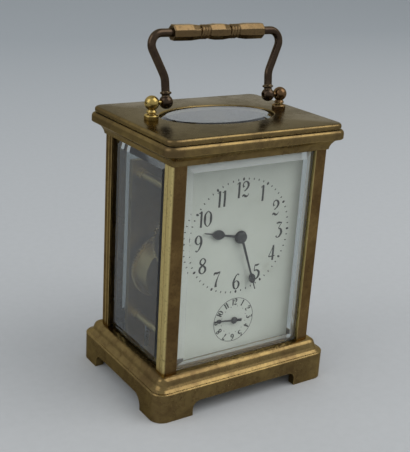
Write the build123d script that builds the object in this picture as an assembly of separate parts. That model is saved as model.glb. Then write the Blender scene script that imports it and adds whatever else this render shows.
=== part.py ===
from build123d import *
import math
import os

# Officer clock: a brass and glass travelling clock with alarm, in millimetres.
# X runs to the right, Y to the back and Z up. The origin is on the floor under the middle.

# Case
case_w = 70.0               # across the outer faces of the pillars
case_d = 52.0
moulding_root_r = 0.8       # corner radius of a moulding where it meets the pillars
moulding_lip = 0.4          # overhang of a moulding where it meets the pillars
pillar_side = 5.7
pillar_round = 1.4          # outer corner of a pillar
pillar_h = 81.65
stud_r = 1.5                # stud on top of a pillar, seated in the cornice
stud_h = 3.0
base_over = 6.0             # overhang of the plinth beyond the pillars
base_corner_r = 5.2
shelf_w = 0.9               # flat ledge on top of the plinth's face
base_waist_over = 3.1       # overhang where the base moulding turns from hollow to round
base_h = 16.9
plinth_h = 12.0             # plain vertical face of the plinth
base_wall = 3.5
rim_t = 3.5                 # rim that the pillars stand on
foot_cut_w = 49.5           # cut-out between the front feet
foot_cut_d = 38.0           # cut-out between the side feet
foot_cut_h = 6.0
foot_cut_r = 3.2            # upper corners of the front cut-out
foot_side_r = 4.4           # upper corners of the side cut-out
floor_t = 2.0
floor_gap = 0.2
floor_slot_w = 5.7          # opening in the floor plate for the hammer's stem
floor_slot_d = 5.0
bell_boss_r = 2.5
bell_screw_hole = 6.0
cornice_over = 7.8          # overhang of the bullnose tier
bullnose_corner_r = 4.0
bullnose_r = 1.9            # rounded upper edge of the bullnose tier
bullnose_arris = 0.4        # bevelled lower edge of the bullnose tier
cornice_h = 10.65
cove_h = 4.5
cove_in = 1.4               # top of the cove in from the bullnose tier
bullnose_h = 3.9
groove_h = 0.45             # shadow groove between the two tiers
tier_over = 6.6             # overhang of the top tier
tier_corner_r = 3.2
tier_edge_r = 1.2           # rounded upper edge of the top tier
top_t = 1.3                 # top plate round the oval glass
oval_margin_x = 10.2        # from the pillar faces to the edge of the top opening
oval_margin_y = 10.7

# Glass
glass_t = 3.0
glass_bevel = 4.5
glass_edge = 1.0            # thickness left at the bevelled edge
glass_inset = 1.0           # outer face of a panel behind the pillar faces
glass_bite = 1.1            # depth of a panel's edge in its grooves
glass_gap = 0.1
top_glass_t = 3.0
top_glass_bevel = 4.0
top_glass_lap = 1.5
boss_r = 1.5
retainer_t = 1.2

# Rear door
door_t = 2.5
door_bar = 4.0
door_gap = 0.45
door_glass_t = 1.5
door_pin_r = 0.6
door_pin_in = 3.0
door_pin_root = 1.6
knob_r = 1.9

# Handle
handle_z = 115.4            # pivot axis above the floor
handle_rise = 24.9          # from the pivot axis to the grip axis
handle_leg_in = 11.5        # legs of the handle in from the pillar faces
handle_shoulder_in = 3.7
handle_wire_r = 1.55
handle_ball_r = 2.6
handle_lean = 8.0           # degrees back from upright
post_in = 5.5               # posts in from the pillar faces
post_ball_r = 2.75
post_foot_r = 2.7
post_foot_h = 2.0
post_stud_r = 1.2
post_stud_h = 3.2
pivot_r = 0.9
grip_r = 2.9
grip_in = 15.3              # ends of the grip in from the pillar faces
grip_sides = 10

# Dial and hands
dial_side_gap = 1.3         # from the dial to the pillars on each side
dial_top = 98.0
dial_bottom = 17.5
dial_t = 1.0
dial_in = 7.2               # front face of the dial behind the pillar faces
hour_z = 65.6               # centre of the hour dial
alarm_drop = 35.4           # from the hour dial to the alarm dial
hand_t = 0.4
hand_gap = 0.5
minute_len = 24.3
hour_len = 17.2
alarm_len = 9.9
minute_hub_r = 2.2
minute_leaf_in = 5.2        # middle of the leaf back from the point
minute_leaf_w = 1.5         # half width of the leaf
minute_stem_w = 0.5
hour_hub_r = 2.6
hour_leaf_in = 6.6
hour_leaf_w = 1.9
hour_stem_w = 0.55
alarm_hub_r = 1.4
alarm_leaf_in = 2.5
alarm_leaf_w = 0.8
alarm_stem_w = 0.35
alarm_tail = 3.5
minute_angle = 160.3        # degrees clockwise from twelve
hour_angle = 283.3
alarm_angle = 277.5

# Movement plates
plate_side_gap = 1.8        # from the movement plates to the pillars on each side
plate_top = 90.0
plate_t = 2.0
motion_gap = 5.0            # room for the motion work behind the dial
plate_back_in = 10.4        # back of the movement in from the rear pillar faces
mp_in = 4.0                 # movement pillars in from the edges of the plates
mp_low_rise = 10.6          # lower movement pillars above the base floor
mp_high = 84.5
mp_r = 2.2
screw_r = 1.0
screw_head_r = 1.9
screw_head_t = 1.2
screw_depth = 7.0           # depth of the hole up into a case pillar
small_r = 0.6               # small screws of the top glass and of the platform
small_head_r = 1.1
small_head_t = 0.7
seat_y = 4.0                # place of the seat screws along the pillars
pivot_hole_gap = 0.05
end_shake = 0.2
arbor_r = 0.8
pivot_pin_r = 0.5
square_side = 2.4
square_in = 5.5             # ends of the squares in from the rear pillar faces
rivet_r = 1.5
barrel_pivot_r = 1.5
alarm_pivot_r = 1.2
centre_tube_r = 1.2

# Going train
barrel_x = -14.5
barrel_z = 45.0
great_teeth = 72
great_m = 0.37
inter_leaves = 10
inter_teeth = 60
centre_leaves = 10
inter_m = 0.403
centre_teeth = 60
third_leaves = 8
centre_m = 0.4
third_angle = 82.0          # degrees from +X, seen from the front
third_teeth = 64
contrate_leaves = 8
third_m = 0.28
contrate_angle = 170.0
contrate_teeth = 64
escape_leaves = 8
contrate_m = 0.225
wheel_t = 1.2
leaf_len = 2.6
great_t = 1.4
drum_r = 12.0
drum_len = 8.4
drum_wall = 0.9
barrel_arbor_r = 2.0
spring_in_r = 3.4

# Levels of the going train, from the back of the front plate
centre_lvl = 5.4
inter_lvl = 9.8
third_lvl = 12.8
contrate_lvl = 17.0         # root of the contrate teeth
great_lvl = 20.4

# Motion work
cannon_leaves = 10
minute_teeth = 30
hour_leaves = 6
hour_teeth = 24
idler_teeth = 42
motion_angle = 45.0
motion_t = 1.0
cannon_r = 1.15
cannon_bore = 0.7
pipe_wall = 0.5
stud_pin_r = 0.5

# Alarm
alarm_x = 15.5
alarm_z = 36.0
alarm_teeth = 54
alarm_leaves = 8
alarm_m = 0.33
alarm_train_angle = 225.0
alarm_drum_r = 7.4
alarm_drum_len = 7.2
alarm_arbor_r = 1.6
alarm_escape_teeth = 20
alarm_escape_r = 5.3
alarm_escape_lvl = 8.0
hammer_x = 16.0
hammer_rise = 10.6          # hammer arbor above the base floor
hammer_y = -5.0
hammer_head_r = 1.8
pallet_len = 4.5
hammer_head_x = 23.6
hammer_drop = 5.2           # hammer head below the base floor
bell_r = 20.0
bell_h = 8.6
bell_t = 1.0
bell_gap = 0.9              # from the bell's rim to the floor plate
bell_form = [(0.42, 0.0), (0.66, 0.08), (0.86, 0.30), (0.95, 0.60), (0.985, 0.85), (1.0, 1.0)]

# Ratchets and clicks
ratchet_teeth = 24
ratchet_r = 6.0
alarm_ratchet_r = 4.6
ratchet_t = 1.2
ratchet_depth = 0.75
ratchet_gap = 0.2
click_t = 1.0
click_play = 0.12
click_stud_r = 0.8

# Platform escapement
platform_w = 34.0
platform_t = 1.6
escape_r = 3.4
escape_teeth = 15
lever_off = 5.0             # from the escape arbor to the lever's arbor
balance_x = 4.2
balance_y = -0.2
balance_r = 6.5
balance_rim_w = 1.0
balance_rim_t = 0.9
staff_r = 0.45
hair_r = 1.15               # innermost turn of the balance spring
hair_pitch = 0.62
hair_turns = 4
hair_w = 0.15
hair_h = 0.4
cock_t = 1.3
balance_foot = -20.0        # degrees from +X to the foot of the balance cock
pivot_small_r = 0.3
potence_t = 1.1

# Tooth form, as shares of the module or of the pitch
wheel_add = 0.76
wheel_ded = 1.38
leaf_add = 0.72
leaf_ded = 1.33
tip_share = 0.10

# Places worked out from the sizes above
pillar_top = base_h + pillar_h
case_top = pillar_top + cornice_h
plate_underside = case_top - top_t
rim_low = base_h - rim_t
inner_w = case_w - 2 * pillar_side
inner_d = case_d - 2 * pillar_side
oval_a = case_w / 2 - oval_margin_x
oval_b = case_d / 2 - oval_margin_y
handle_leg_x = case_w / 2 - handle_leg_in
handle_shoulder_x = case_w / 2 - handle_shoulder_in
post_x = case_w / 2 - post_in
grip_half = case_w / 2 - grip_in
dial_w = inner_w - 2 * dial_side_gap
plate_w = inner_w - 2 * plate_side_gap
mp_x = plate_w / 2 - mp_in
mp_low = rim_low + mp_low_rise
hammer_z = rim_low + hammer_rise
hammer_head_z = rim_low - hammer_drop
dial_y = -case_d / 2 + dial_in
dial_back = dial_y + dial_t
front_y = dial_back + motion_gap
front_back = front_y + plate_t
back_back = case_d / 2 - plate_back_in
back_y = back_back - plate_t
square_end = case_d / 2 - square_in
alarm_dial_z = hour_z - alarm_drop
hour_m = alarm_drop / (hour_teeth + idler_teeth)
bell_low = rim_low - floor_t - bell_gap - bell_h
minute_y = front_y - 0.8 - motion_t
hour_y = minute_y - 1.0 - motion_t
ratchet_y = back_back + ratchet_gap
centre_bore = cannon_bore + 0.06
pipe_bore = cannon_r + 0.08
pipe_r = pipe_bore + pipe_wall
hour_hand_y = dial_y - hand_gap - hand_t
minute_hand_y = hour_hand_y - hand_gap - hand_t
door_half = inner_w / 2 - door_gap
door_axis_x = -door_half + door_t / 2
door_axis_y = case_d / 2 - 0.25 - door_t / 2
knob_x = door_half - door_bar / 2
knob_z = base_h + pillar_h / 2
glass_slope = (top_glass_t - glass_edge) / top_glass_bevel
top_glass_low = plate_underside - glass_edge - glass_slope * top_glass_lap - 0.05


# Basic shapes

def rod(x, z, radius, y0, y1):
    """Cylinder along Y."""
    return extrude(front_plane(y1) * Pos(x, z) * Circle(radius), amount=y1 - y0)


def front_plane(y):
    """Plane facing the viewer, with X to the right and Z up."""
    return Plane(origin=(0, y, 0), x_dir=(1, 0, 0), z_dir=(0, -1, 0))


def slab(sketch, y0, y1):
    """A sketch in the X and Z directions, as thick as from y0 to y1."""
    return extrude(front_plane(y1) * sketch, amount=y1 - y0, dir=(0, -1, 0))


def post(x, y, radius, z0, z1):
    """Cylinder along Z."""
    return extrude(Plane.XY.offset(z0) * Pos(x, y) * Circle(radius), amount=z1 - z0)


def level(sketch, z0, z1):
    """A sketch in the X and Y directions, as thick as from z0 to z1."""
    return extrude(Plane.XY.offset(z0) * sketch, amount=z1 - z0, dir=(0, 0, 1))


def block(x0, x1, y0, y1, z0, z1):
    """Box between two corners."""
    middle = ((x0 + x1) / 2, (y0 + y1) / 2, (z0 + z1) / 2)
    return Pos(*middle) * Box(x1 - x0, y1 - y0, z1 - z0)


def polar(radius, degrees):
    """Point at a radius and an angle from the first axis."""
    turn = math.radians(degrees)
    return (radius * math.cos(turn), radius * math.sin(turn))


def join(pieces):
    """One solid from pieces that touch."""
    whole = pieces[0]
    for piece in pieces[1:]:
        whole = whole + piece
    return whole


def save(name, shape):
    """Write a piece, or a group of like pieces, to its own file."""
    if isinstance(shape, list):
        shape = Compound(children=[Solid(piece.solids()[0].wrapped) for piece in shape])
    export_step(shape, os.path.join("parts", name + ".step"))
    print(name, len(shape.solids()))


def screw_up(x, y, z_seat, length, radius, head_r, head_t):
    """Slotted screw with its head under z_seat and its shank going up."""
    head = post(x, y, head_r, z_seat - head_t, z_seat)
    slot = block(x - head_r, x + head_r, y - 0.2, y + 0.2, z_seat - head_t, z_seat - head_t / 2)
    return head - slot + post(x, y, radius, z_seat, z_seat + length)


def screw_down(x, y, z_seat, length, radius, head_r, head_t):
    """Slotted screw with its head on z_seat and its shank going down."""
    head = post(x, y, head_r, z_seat, z_seat + head_t)
    slot = block(x - head_r, x + head_r, y - 0.2, y + 0.2, z_seat + head_t / 2, z_seat + head_t)
    return head - slot + post(x, y, radius, z_seat - length, z_seat)


# Gearing

def toothed(teeth, module, add, ded, phase):
    """Outline of a wheel or pinion; phase is the angle of one tooth in degrees."""
    pitch = 360.0 / teeth
    tip_r = module * (teeth / 2 + add)
    root_r = module * (teeth / 2 - ded)
    points = []
    for index in range(teeth):
        angle = phase + index * pitch
        points.append(polar(tip_r, angle - pitch * tip_share / 2))
        points.append(polar(tip_r, angle + pitch * tip_share / 2))
        points.append(polar(root_r, angle + pitch / 2))
    return Polygon(*points, align=None)


def wheel_face(teeth, module, phase):
    return toothed(teeth, module, wheel_add, wheel_ded, phase)


def leaf_face(leaves, module, phase):
    return toothed(leaves, module, leaf_add, leaf_ded, phase)


def mesh_phase(line, teeth_a, phase_a, teeth_b):
    """Angle of a tooth of wheel b that meshes with wheel a; line is the angle from a to b."""
    share = (line - phase_a) * teeth_a / 360.0
    return line + 180.0 - 360.0 / teeth_b * (0.5 - share)


def angle_to(start, end):
    """Angle of the line from one place to another."""
    return math.degrees(math.atan2(end[1] - start[1], end[0] - start[0]))


def arms(outer, inner, count, width):
    """Openings between the arms of a crossed-out wheel."""
    ring = Circle(outer) - Circle(inner)
    for index in range(count):
        bar = Rot(0, 0, 360.0 / count * index) * Pos(outer / 2, 0) * Rectangle(outer, width)
        ring = ring - bar
    return ring


def reach(point_a, dist_a, point_b, dist_b, side):
    """Place at dist_a from one point and dist_b from the other."""
    span = math.dist(point_a, point_b)
    along = (dist_a ** 2 - dist_b ** 2 + span ** 2) / (2 * span)
    off = math.sqrt(dist_a ** 2 - along ** 2) * side
    ux = (point_b[0] - point_a[0]) / span
    uz = (point_b[1] - point_a[1]) / span
    return (point_a[0] + along * ux - off * uz, point_a[1] + along * uz + off * ux)


def centres(teeth_a, teeth_b, module):
    return (teeth_a + teeth_b) * module / 2


motion_m = hour_m * (hour_leaves + hour_teeth) / (cannon_leaves + minute_teeth)


# Places of the arbors, in X and Z
hour_at = (0.0, hour_z)
alarm_at = (0.0, alarm_dial_z)
barrel_at = (barrel_x, barrel_z)
inter_at = reach(barrel_at, centres(great_teeth, inter_leaves, great_m),
                 hour_at, centres(inter_teeth, centre_leaves, inter_m), 1)
third_off = polar(centres(centre_teeth, third_leaves, centre_m), third_angle)
third_at = (hour_at[0] + third_off[0], hour_at[1] + third_off[1])
contrate_off = polar(centres(third_teeth, contrate_leaves, third_m), contrate_angle)
contrate_at = (third_at[0] + contrate_off[0], third_at[1] + contrate_off[1])
minute_off = polar(centres(cannon_leaves, minute_teeth, motion_m), motion_angle)
minute_at = (hour_at[0] + minute_off[0], hour_at[1] + minute_off[1])
idler_at = (0.0, hour_z - alarm_drop / 2)
alarm_barrel_at = (alarm_x, alarm_z)
alarm_esc_off = polar(centres(alarm_teeth, alarm_leaves, alarm_m), alarm_train_angle)
alarm_esc_at = (alarm_x + alarm_esc_off[0], alarm_z + alarm_esc_off[1])
hammer_at = (hammer_x, hammer_z)

# Phases of the teeth
great_phase = 0.0
inter_leaf_phase = mesh_phase(angle_to(barrel_at, inter_at), great_teeth, great_phase, inter_leaves)
inter_phase = inter_leaf_phase
centre_leaf_phase = mesh_phase(angle_to(inter_at, hour_at), inter_teeth, inter_phase, centre_leaves)
centre_phase = centre_leaf_phase
third_leaf_phase = mesh_phase(angle_to(hour_at, third_at), centre_teeth, centre_phase, third_leaves)
third_phase = third_leaf_phase
contrate_leaf_phase = mesh_phase(angle_to(third_at, contrate_at), third_teeth, third_phase, contrate_leaves)
cannon_phase = motion_angle
minute_phase = mesh_phase(motion_angle, cannon_leaves, cannon_phase, minute_teeth)
hour_leaf_phase = motion_angle + 180.0
hour_phase = mesh_phase(motion_angle + 180.0, hour_leaves, hour_leaf_phase, hour_teeth)
idler_phase = mesh_phase(-90.0, hour_teeth, hour_phase, idler_teeth)
alarm_wheel_phase = mesh_phase(-90.0, idler_teeth, idler_phase, hour_teeth)
alarm_phase = 0.0
alarm_leaf_phase = mesh_phase(alarm_train_angle, alarm_teeth, alarm_phase, alarm_leaves)

# Places of the platform escapement
contrate_pitch_r = contrate_m * contrate_teeth / 2
contrate_tip_y = front_back + contrate_lvl - contrate_m * (wheel_add + wheel_ded)
escape_x = contrate_at[0]
escape_y = contrate_tip_y + contrate_m * wheel_add - contrate_m * escape_leaves / 2
platform_top = plate_top + platform_t
escape_z = platform_top + 1.6
escape_line = math.degrees(math.atan2(balance_y - escape_y, balance_x - escape_x))
lever_dx, lever_dy = polar(lever_off, escape_line)
lever_x = escape_x + lever_dx
lever_y = escape_y + lever_dy
lever_to_balance = math.hypot(balance_x - lever_x, balance_y - lever_y)
cock_low = escape_z + 1.1
potence_z = contrate_at[1] + contrate_pitch_r - 2.6
balance_z = escape_z + 2.1
hair_z = balance_z + balance_rim_t + 0.5
balance_cock_z = hair_z + hair_h + 0.5


# Case

def tier(over, corner, z0, z1):
    """Rounded block that stands out beyond the pillar faces."""
    return level(RectangleRounded(case_w + 2 * over, case_d + 2 * over, corner), z0, z1)


def moulded(steps):
    """Moulding round the case; steps gives its overhang, corner radius and height from below upwards."""
    whole = None
    for (over0, corner0, z0), (over1, corner1, z1) in zip(steps, steps[1:]):
        low = Plane.XY.offset(z0) * RectangleRounded(case_w + 2 * over0, case_d + 2 * over0, corner0)
        high = Plane.XY.offset(z1) * RectangleRounded(case_w + 2 * over1, case_d + 2 * over1, corner1)
        band = loft([low, high], ruled=True)
        whole = band if whole is None else whole + band
    return whole


def curve_steps(start, end, corners, bulge, count):
    """Steps of a moulding along an arc; bulge is how far the arc leaves its chord, outwards if positive."""
    steps = []
    for index in range(count + 1):
        share = index / count
        swell = 4 * bulge * share * (1 - share)
        chord = math.hypot(end[0] - start[0], end[1] - start[1])
        nx = (end[1] - start[1]) / chord
        nz = (start[0] - end[0]) / chord
        over = start[0] + (end[0] - start[0]) * share + swell * nx
        z = start[1] + (end[1] - start[1]) * share + swell * nz
        steps.append((over, corners[0] + (corners[1] - corners[0]) * share, z))
    return steps


def glass_grooves(z0, z1):
    """Grooves for the front panel and the two side panels, between two heights."""
    half_w = inner_w / 2 + glass_bite + glass_gap
    half_d = inner_d / 2 + glass_bite + glass_gap
    front_out = -case_d / 2 + glass_inset - glass_gap
    side_out = case_w / 2 - glass_inset + glass_gap
    wide = glass_t + 2 * glass_gap
    grooves = [block(-half_w, half_w, front_out, front_out + wide, z0, z1)]
    grooves.append(block(side_out - wide, side_out, -half_d, half_d, z0, z1))
    grooves.append(block(-side_out, -side_out + wide, -half_d, half_d, z0, z1))
    return grooves


def corner_places():
    """Middles of the four pillars."""
    x = (case_w - pillar_side) / 2
    y = (case_d - pillar_side) / 2
    return [(-x, -y), (x, -y), (-x, y), (x, y)]


def base_plinth():
    wall_r = base_corner_r - base_wall
    arris = 0.35
    waist_corner_r = 3.4
    shelf = (base_over - shelf_w, plinth_h)
    waist = (base_waist_over, plinth_h + (base_h - plinth_h) * 0.62)
    top = (moulding_lip, base_h)
    body = tier(base_over, base_corner_r, 0, plinth_h - arris)
    body = body + moulded([(base_over, base_corner_r, plinth_h - arris),
                           (base_over - arris, base_corner_r - arris, plinth_h)])
    cove = curve_steps(shelf, waist, (base_corner_r - shelf_w, waist_corner_r), -0.35, 3)
    bead = curve_steps(waist, top, (waist_corner_r, moulding_root_r), 0.55, 5)
    body = body + moulded(cove) + moulded(bead)
    body = body - tier(base_over - base_wall, wall_r, -1, rim_low)
    body = body - level(Rectangle(inner_w, inner_d), rim_low - 1, base_h + 1)
    wide = case_w + 4 * base_over
    cut_x = RectangleRounded(foot_cut_w, 2 * foot_cut_h, foot_cut_r)
    cut_y = RectangleRounded(foot_cut_d, 2 * foot_cut_h, foot_side_r)
    body = body - extrude(Plane.XZ * cut_x, amount=wide, both=True)
    body = body - extrude(Plane.YZ * cut_y, amount=wide, both=True)
    for groove in glass_grooves(base_h - glass_bite - glass_gap, base_h + 1):
        body = body - groove
    for x, y in corner_places():
        body = body - post(x, y, screw_r + pivot_hole_gap, rim_low - 1, base_h + 1)
    return body - post(door_axis_x, door_axis_y, door_pin_r, base_h - door_pin_root, base_h + 1)


def base_floor():
    wide = case_w + 2 * (base_over - base_wall) - 2 * floor_gap
    deep = case_d + 2 * (base_over - base_wall) - 2 * floor_gap
    share = (hammer_z - rim_low + floor_t / 2) / (hammer_z - hammer_head_z)
    slot_x = hammer_x + (hammer_head_x - hammer_x) * share
    face = RectangleRounded(wide, deep, base_corner_r - base_wall - floor_gap)
    face = face - Pos(slot_x, hammer_y) * Rectangle(floor_slot_w, floor_slot_d)
    for x, y in corner_places() + [(-mp_x, seat_y), (mp_x, seat_y)]:
        face = face - Pos(x, y) * Circle(screw_r + pivot_hole_gap)
    plate = level(face, rim_low - floor_t, rim_low)
    boss_low = bell_low + bell_t
    boss = post(0, 0, bell_boss_r, boss_low, rim_low - floor_t / 2)
    return plate + boss - post(0, 0, screw_r, bell_low, boss_low + bell_screw_hole)


def pillar(x, y):
    """Square pillar with a rounded outer corner, a seam line, grooves and a stud on top."""
    body = block(x - pillar_side / 2, x + pillar_side / 2, y - pillar_side / 2, y + pillar_side / 2,
                 base_h, pillar_top)
    sx = math.copysign(1, x)
    sy = math.copysign(1, y)
    upright = body.edges().filter_by(Axis.Z)
    outer = upright.sort_by(lambda edge: (edge @ 0.5).X * sx + (edge @ 0.5).Y * sy)[-1]
    body = fillet(outer, pillar_round)
    seam_y = sy * (case_d / 2 - 3.4)
    face_x = sx * case_w / 2
    seam = block(min(face_x, face_x - sx * 0.25), max(face_x, face_x - sx * 0.25),
                 seam_y - 0.15, seam_y + 0.15, base_h - 1, pillar_top + 1)
    body = body - seam
    for groove in glass_grooves(base_h - 1, pillar_top + 1):
        body = body - groove
    body = body + post(x, y, stud_r, pillar_top, pillar_top + stud_h)
    return body - post(x, y, screw_r, base_h - 1, base_h + screw_depth)


def cornice():
    low = pillar_top
    tier_low = case_top - (cornice_h - cove_h - bullnose_h - groove_h)
    bull_low = low + cove_h
    bull_high = bull_low + bullnose_h
    cove_top = (cornice_over - cove_in, bull_low)
    cove = curve_steps((moulding_lip, low), cove_top, (moulding_root_r, bullnose_corner_r - cove_in), -0.5, 4)
    body = moulded(cove)
    nose = tier(cornice_over, bullnose_corner_r, bull_low, bull_high)
    nose = fillet(nose.faces().sort_by(Axis.Z)[-1].edges(), bullnose_r)
    nose = chamfer(nose.faces().sort_by(Axis.Z)[0].edges(), bullnose_arris)
    body = body + nose
    body = body + tier(tier_over - 0.6, tier_corner_r - 0.6, bull_high, tier_low)
    lid = tier(tier_over, tier_corner_r, tier_low, case_top)
    body = body + fillet(lid.faces().sort_by(Axis.Z)[-1].edges(), tier_edge_r)
    body = body - level(Rectangle(inner_w, inner_d), low - 1, plate_underside)
    body = body - level(Ellipse(oval_a, oval_b), plate_underside - 1, case_top + 1)
    for x, y in retainer_places():
        body = body + post(x, y, boss_r, top_glass_low, plate_underside)
        body = body - post(x, y, small_r, top_glass_low - 1, top_glass_low + 2.6)
    for groove in glass_grooves(low - 1, low + glass_bite + glass_gap):
        body = body - groove
    for x, y in corner_places():
        body = body - post(x, y, stud_r, low - 1, low + stud_h)
    for side in (-1, 1):
        body = body - post(side * post_x, 0, post_stud_r, case_top - post_stud_h, case_top + 1)
    return body - post(door_axis_x, door_axis_y, door_pin_r, low - 1, low + door_pin_root)


def retainer_places():
    x = inner_w / 2 - 3.2
    y = inner_d / 2 - 2.6
    return [(-x, -y), (x, -y), (-x, y), (x, y)]


def top_glass():
    a = oval_a + top_glass_lap
    b = oval_b + top_glass_lap
    shape = level(Ellipse(a, b), top_glass_low, top_glass_low + glass_edge)
    wide = Plane.XY.offset(top_glass_low + glass_edge) * Ellipse(a, b)
    narrow = Plane.XY.offset(top_glass_low + top_glass_t) * Ellipse(a - top_glass_bevel, b - top_glass_bevel)
    return shape + loft([wide, narrow], ruled=True)


def top_glass_retainer():
    sheet = Rectangle(inner_w - 0.6, inner_d - 0.6) - Ellipse(oval_a - 1, oval_b - 1)
    plate = level(sheet, top_glass_low - retainer_t, top_glass_low)
    for x, y in retainer_places():
        plate = plate - post(x, y, small_r + pivot_hole_gap, top_glass_low - retainer_t - 1, top_glass_low + 1)
    return plate


def panel(width):
    """Upright glass panel seen from the front, bevelled all round on its outer face."""
    z0 = base_h - glass_bite
    z1 = pillar_top + glass_bite
    depth = glass_t - glass_edge
    middle = Pos(0, (z0 + z1) / 2)
    back = block(-width / 2, width / 2, depth, glass_t, z0, z1)
    wide = front_plane(depth) * middle * Rectangle(width, z1 - z0)
    narrow = front_plane(0) * middle * Rectangle(width - 2 * glass_bevel, z1 - z0 - 2 * glass_bevel)
    return back + loft([wide, narrow], ruled=True)


def front_panel():
    return Pos(0, -case_d / 2 + glass_inset, 0) * panel(inner_w + 2 * glass_bite)


def side_panel(side):
    width = inner_d + 2 * glass_bite
    flat = panel(width)
    return Pos(side * (case_w / 2 - glass_inset), 0, 0) * Rot(0, 0, 90 * side) * flat


# Rear door

def rear_door_frame():
    z0 = base_h + 0.4
    z1 = pillar_top - 0.4
    y0 = door_axis_y - door_t / 2
    y1 = door_axis_y + door_t / 2
    body = block(door_axis_x, door_half, y0, y1, z0, z1)
    body = body + post(door_axis_x, door_axis_y, door_t / 2, z0, z1)
    inner = door_half - door_bar
    body = body - block(-inner, inner, y0 - 1, y1 + 1, z0 + door_bar, z1 - door_bar)
    g0 = door_axis_y - door_glass_t / 2 - 0.05
    g1 = door_axis_y + door_glass_t / 2 + 0.05
    bite = 0.9
    body = body - block(-inner - bite, inner + bite, g0, g1, z0 + door_bar - bite, z1 - door_bar + bite)
    for low, high in ((z0 - 1, z0 + door_pin_in), (z1 - door_pin_in, z1 + 1)):
        body = body - post(door_axis_x, door_axis_y, door_pin_r + pivot_hole_gap, low, high)
    return body - rod(knob_x, knob_z, 0.7, y0 - 1, y1 + 1)


def rear_door_glass():
    inner = door_half - door_bar + 0.85
    z0 = base_h + 0.4 + door_bar - 0.85
    z1 = pillar_top - 0.4 - door_bar + 0.85
    half = door_glass_t / 2
    return block(-inner, inner, door_axis_y - half, door_axis_y + half, z0, z1)


def door_knob():
    y1 = door_axis_y + door_t / 2
    with BuildSketch() as outline:
        with BuildLine():
            foot = Line((0, 0), (1.5, 0))
            rise = Line(foot @ 1, (1.5, 0.6))
            neck = Line(rise @ 1, (0.8, 1.4))
            stem = Line(neck @ 1, (0.8, 2.4))
            ball_at = 2.4 + math.sqrt(knob_r ** 2 - 0.8 ** 2)
            head = ThreePointArc(stem @ 1, (knob_r, ball_at), (0, ball_at + knob_r))
            Line(head @ 1, (0, 0))
        make_face()
    turned = revolve(outline.sketch, Axis.Y)
    return Pos(knob_x, y1, knob_z) * turned + rod(knob_x, knob_z, 0.7, y1 - door_t, y1)


def door_hinge_pins():
    low = post(door_axis_x, door_axis_y, door_pin_r, base_h - door_pin_root, base_h + door_pin_in)
    high = post(door_axis_x, door_axis_y, door_pin_r, pillar_top - door_pin_in, pillar_top + door_pin_root)
    return [low, high]


# Handle

def grip():
    """Turned grip: three faceted barrels with paired collars between them."""
    barrel = grip_half * 2 / 3 - 2.2
    pieces = []
    for place in (-1, 0, 1):
        middle = place * grip_half * 2 / 3
        sections = []
        for share, radius in ((-0.5, 0.72), (-0.25, 0.95), (0, 1.0), (0.25, 0.95), (0.5, 0.72)):
            plane = Plane(origin=(middle + share * barrel, 0, 0), x_dir=(0, 1, 0), z_dir=(1, 0, 0))
            sections.append(plane * RegularPolygon(grip_r * radius, grip_sides))
        pieces.append(loft(sections, ruled=True))
    for place in (-1.5, -0.5, 0.5, 1.5):
        middle = place * grip_half * 2 / 3
        count = 2 if abs(place) < 1 else 1
        for index in range(count):
            offset = (index - (count - 1) / 2) * 1.1
            disc = Plane(origin=(middle + offset, 0, 0), z_dir=(1, 0, 0)) * Circle(grip_r * 0.86)
            bead = extrude(disc, amount=0.45, both=True)
            pieces.append(chamfer(bead.edges().filter_by(GeomType.CIRCLE), 0.3))
    return pieces


def handle():
    top = handle_rise
    right = [(handle_leg_x + 0.2, 8.9), (handle_leg_x, 0)]
    points = [(-handle_leg_x, 0), (-handle_leg_x - 0.2, 8.9), (-handle_shoulder_x, top), (handle_shoulder_x, top)]
    path = Plane.XZ * FilletPolyline(*(points + right), radius=[8.0, 4.2, 4.2, 8.0])
    wire = Wire(path.edges())
    section = Plane(origin=wire @ 0, z_dir=wire % 0) * Circle(handle_wire_r)
    body = sweep(section, path=wire)
    for piece in grip():
        body = body + Pos(0, 0, top) * piece
    for side in (-1, 1):
        x = side * handle_leg_x
        body = body + Pos(x, 0, 0) * Sphere(handle_ball_r)
        collar = Pos(x, 0, 3.3) * Cylinder(2.15, 0.9)
        body = body + chamfer(collar.edges().filter_by(GeomType.CIRCLE), 0.3)
        bore = Plane(origin=(x, 0, 0), z_dir=(1, 0, 0)) * Circle(pivot_r + pivot_hole_gap)
        body = body - extrude(bore, amount=4, both=True)
    return Pos(0, 0, handle_z) * Rot(-handle_lean, 0, 0) * body


def handle_post(side):
    """Turned post with a drum foot, a neck with a ring and a ball, and a stud into the cornice."""
    height = handle_z - case_top
    neck_r = 1.45
    ring_r = 1.95
    ball_low = height - math.sqrt(post_ball_r ** 2 - neck_r ** 2)
    with BuildSketch() as outline:
        with BuildLine():
            bottom = Line((0, 0), (post_foot_r, 0))
            foot = Line(bottom @ 1, (post_foot_r, post_foot_h - 0.35))
            edge = Line(foot @ 1, (post_foot_r - 0.35, post_foot_h))
            shoulder = Line(edge @ 1, (neck_r, post_foot_h + 0.3))
            ring_low = Line(shoulder @ 1, (ring_r, post_foot_h + 0.75))
            ring = Line(ring_low @ 1, (ring_r, post_foot_h + 1.05))
            ring_high = Line(ring @ 1, (neck_r, ball_low - 0.1))
            neck = Line(ring_high @ 1, (neck_r, ball_low))
            ball = ThreePointArc(neck @ 1, (post_ball_r, height), (0, height + post_ball_r))
            Line(ball @ 1, (0, 0))
        make_face()
    turned = revolve(Plane.XZ * outline.sketch, Axis.Z)
    body = Pos(side * post_x, 0, case_top) * turned
    body = body + post(side * post_x, 0, post_stud_r, case_top - post_stud_h, case_top)
    bore = Plane(origin=(side * post_x, 0, handle_z), z_dir=(1, 0, 0)) * Circle(pivot_r)
    return body - extrude(bore, amount=4, both=True)


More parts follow.
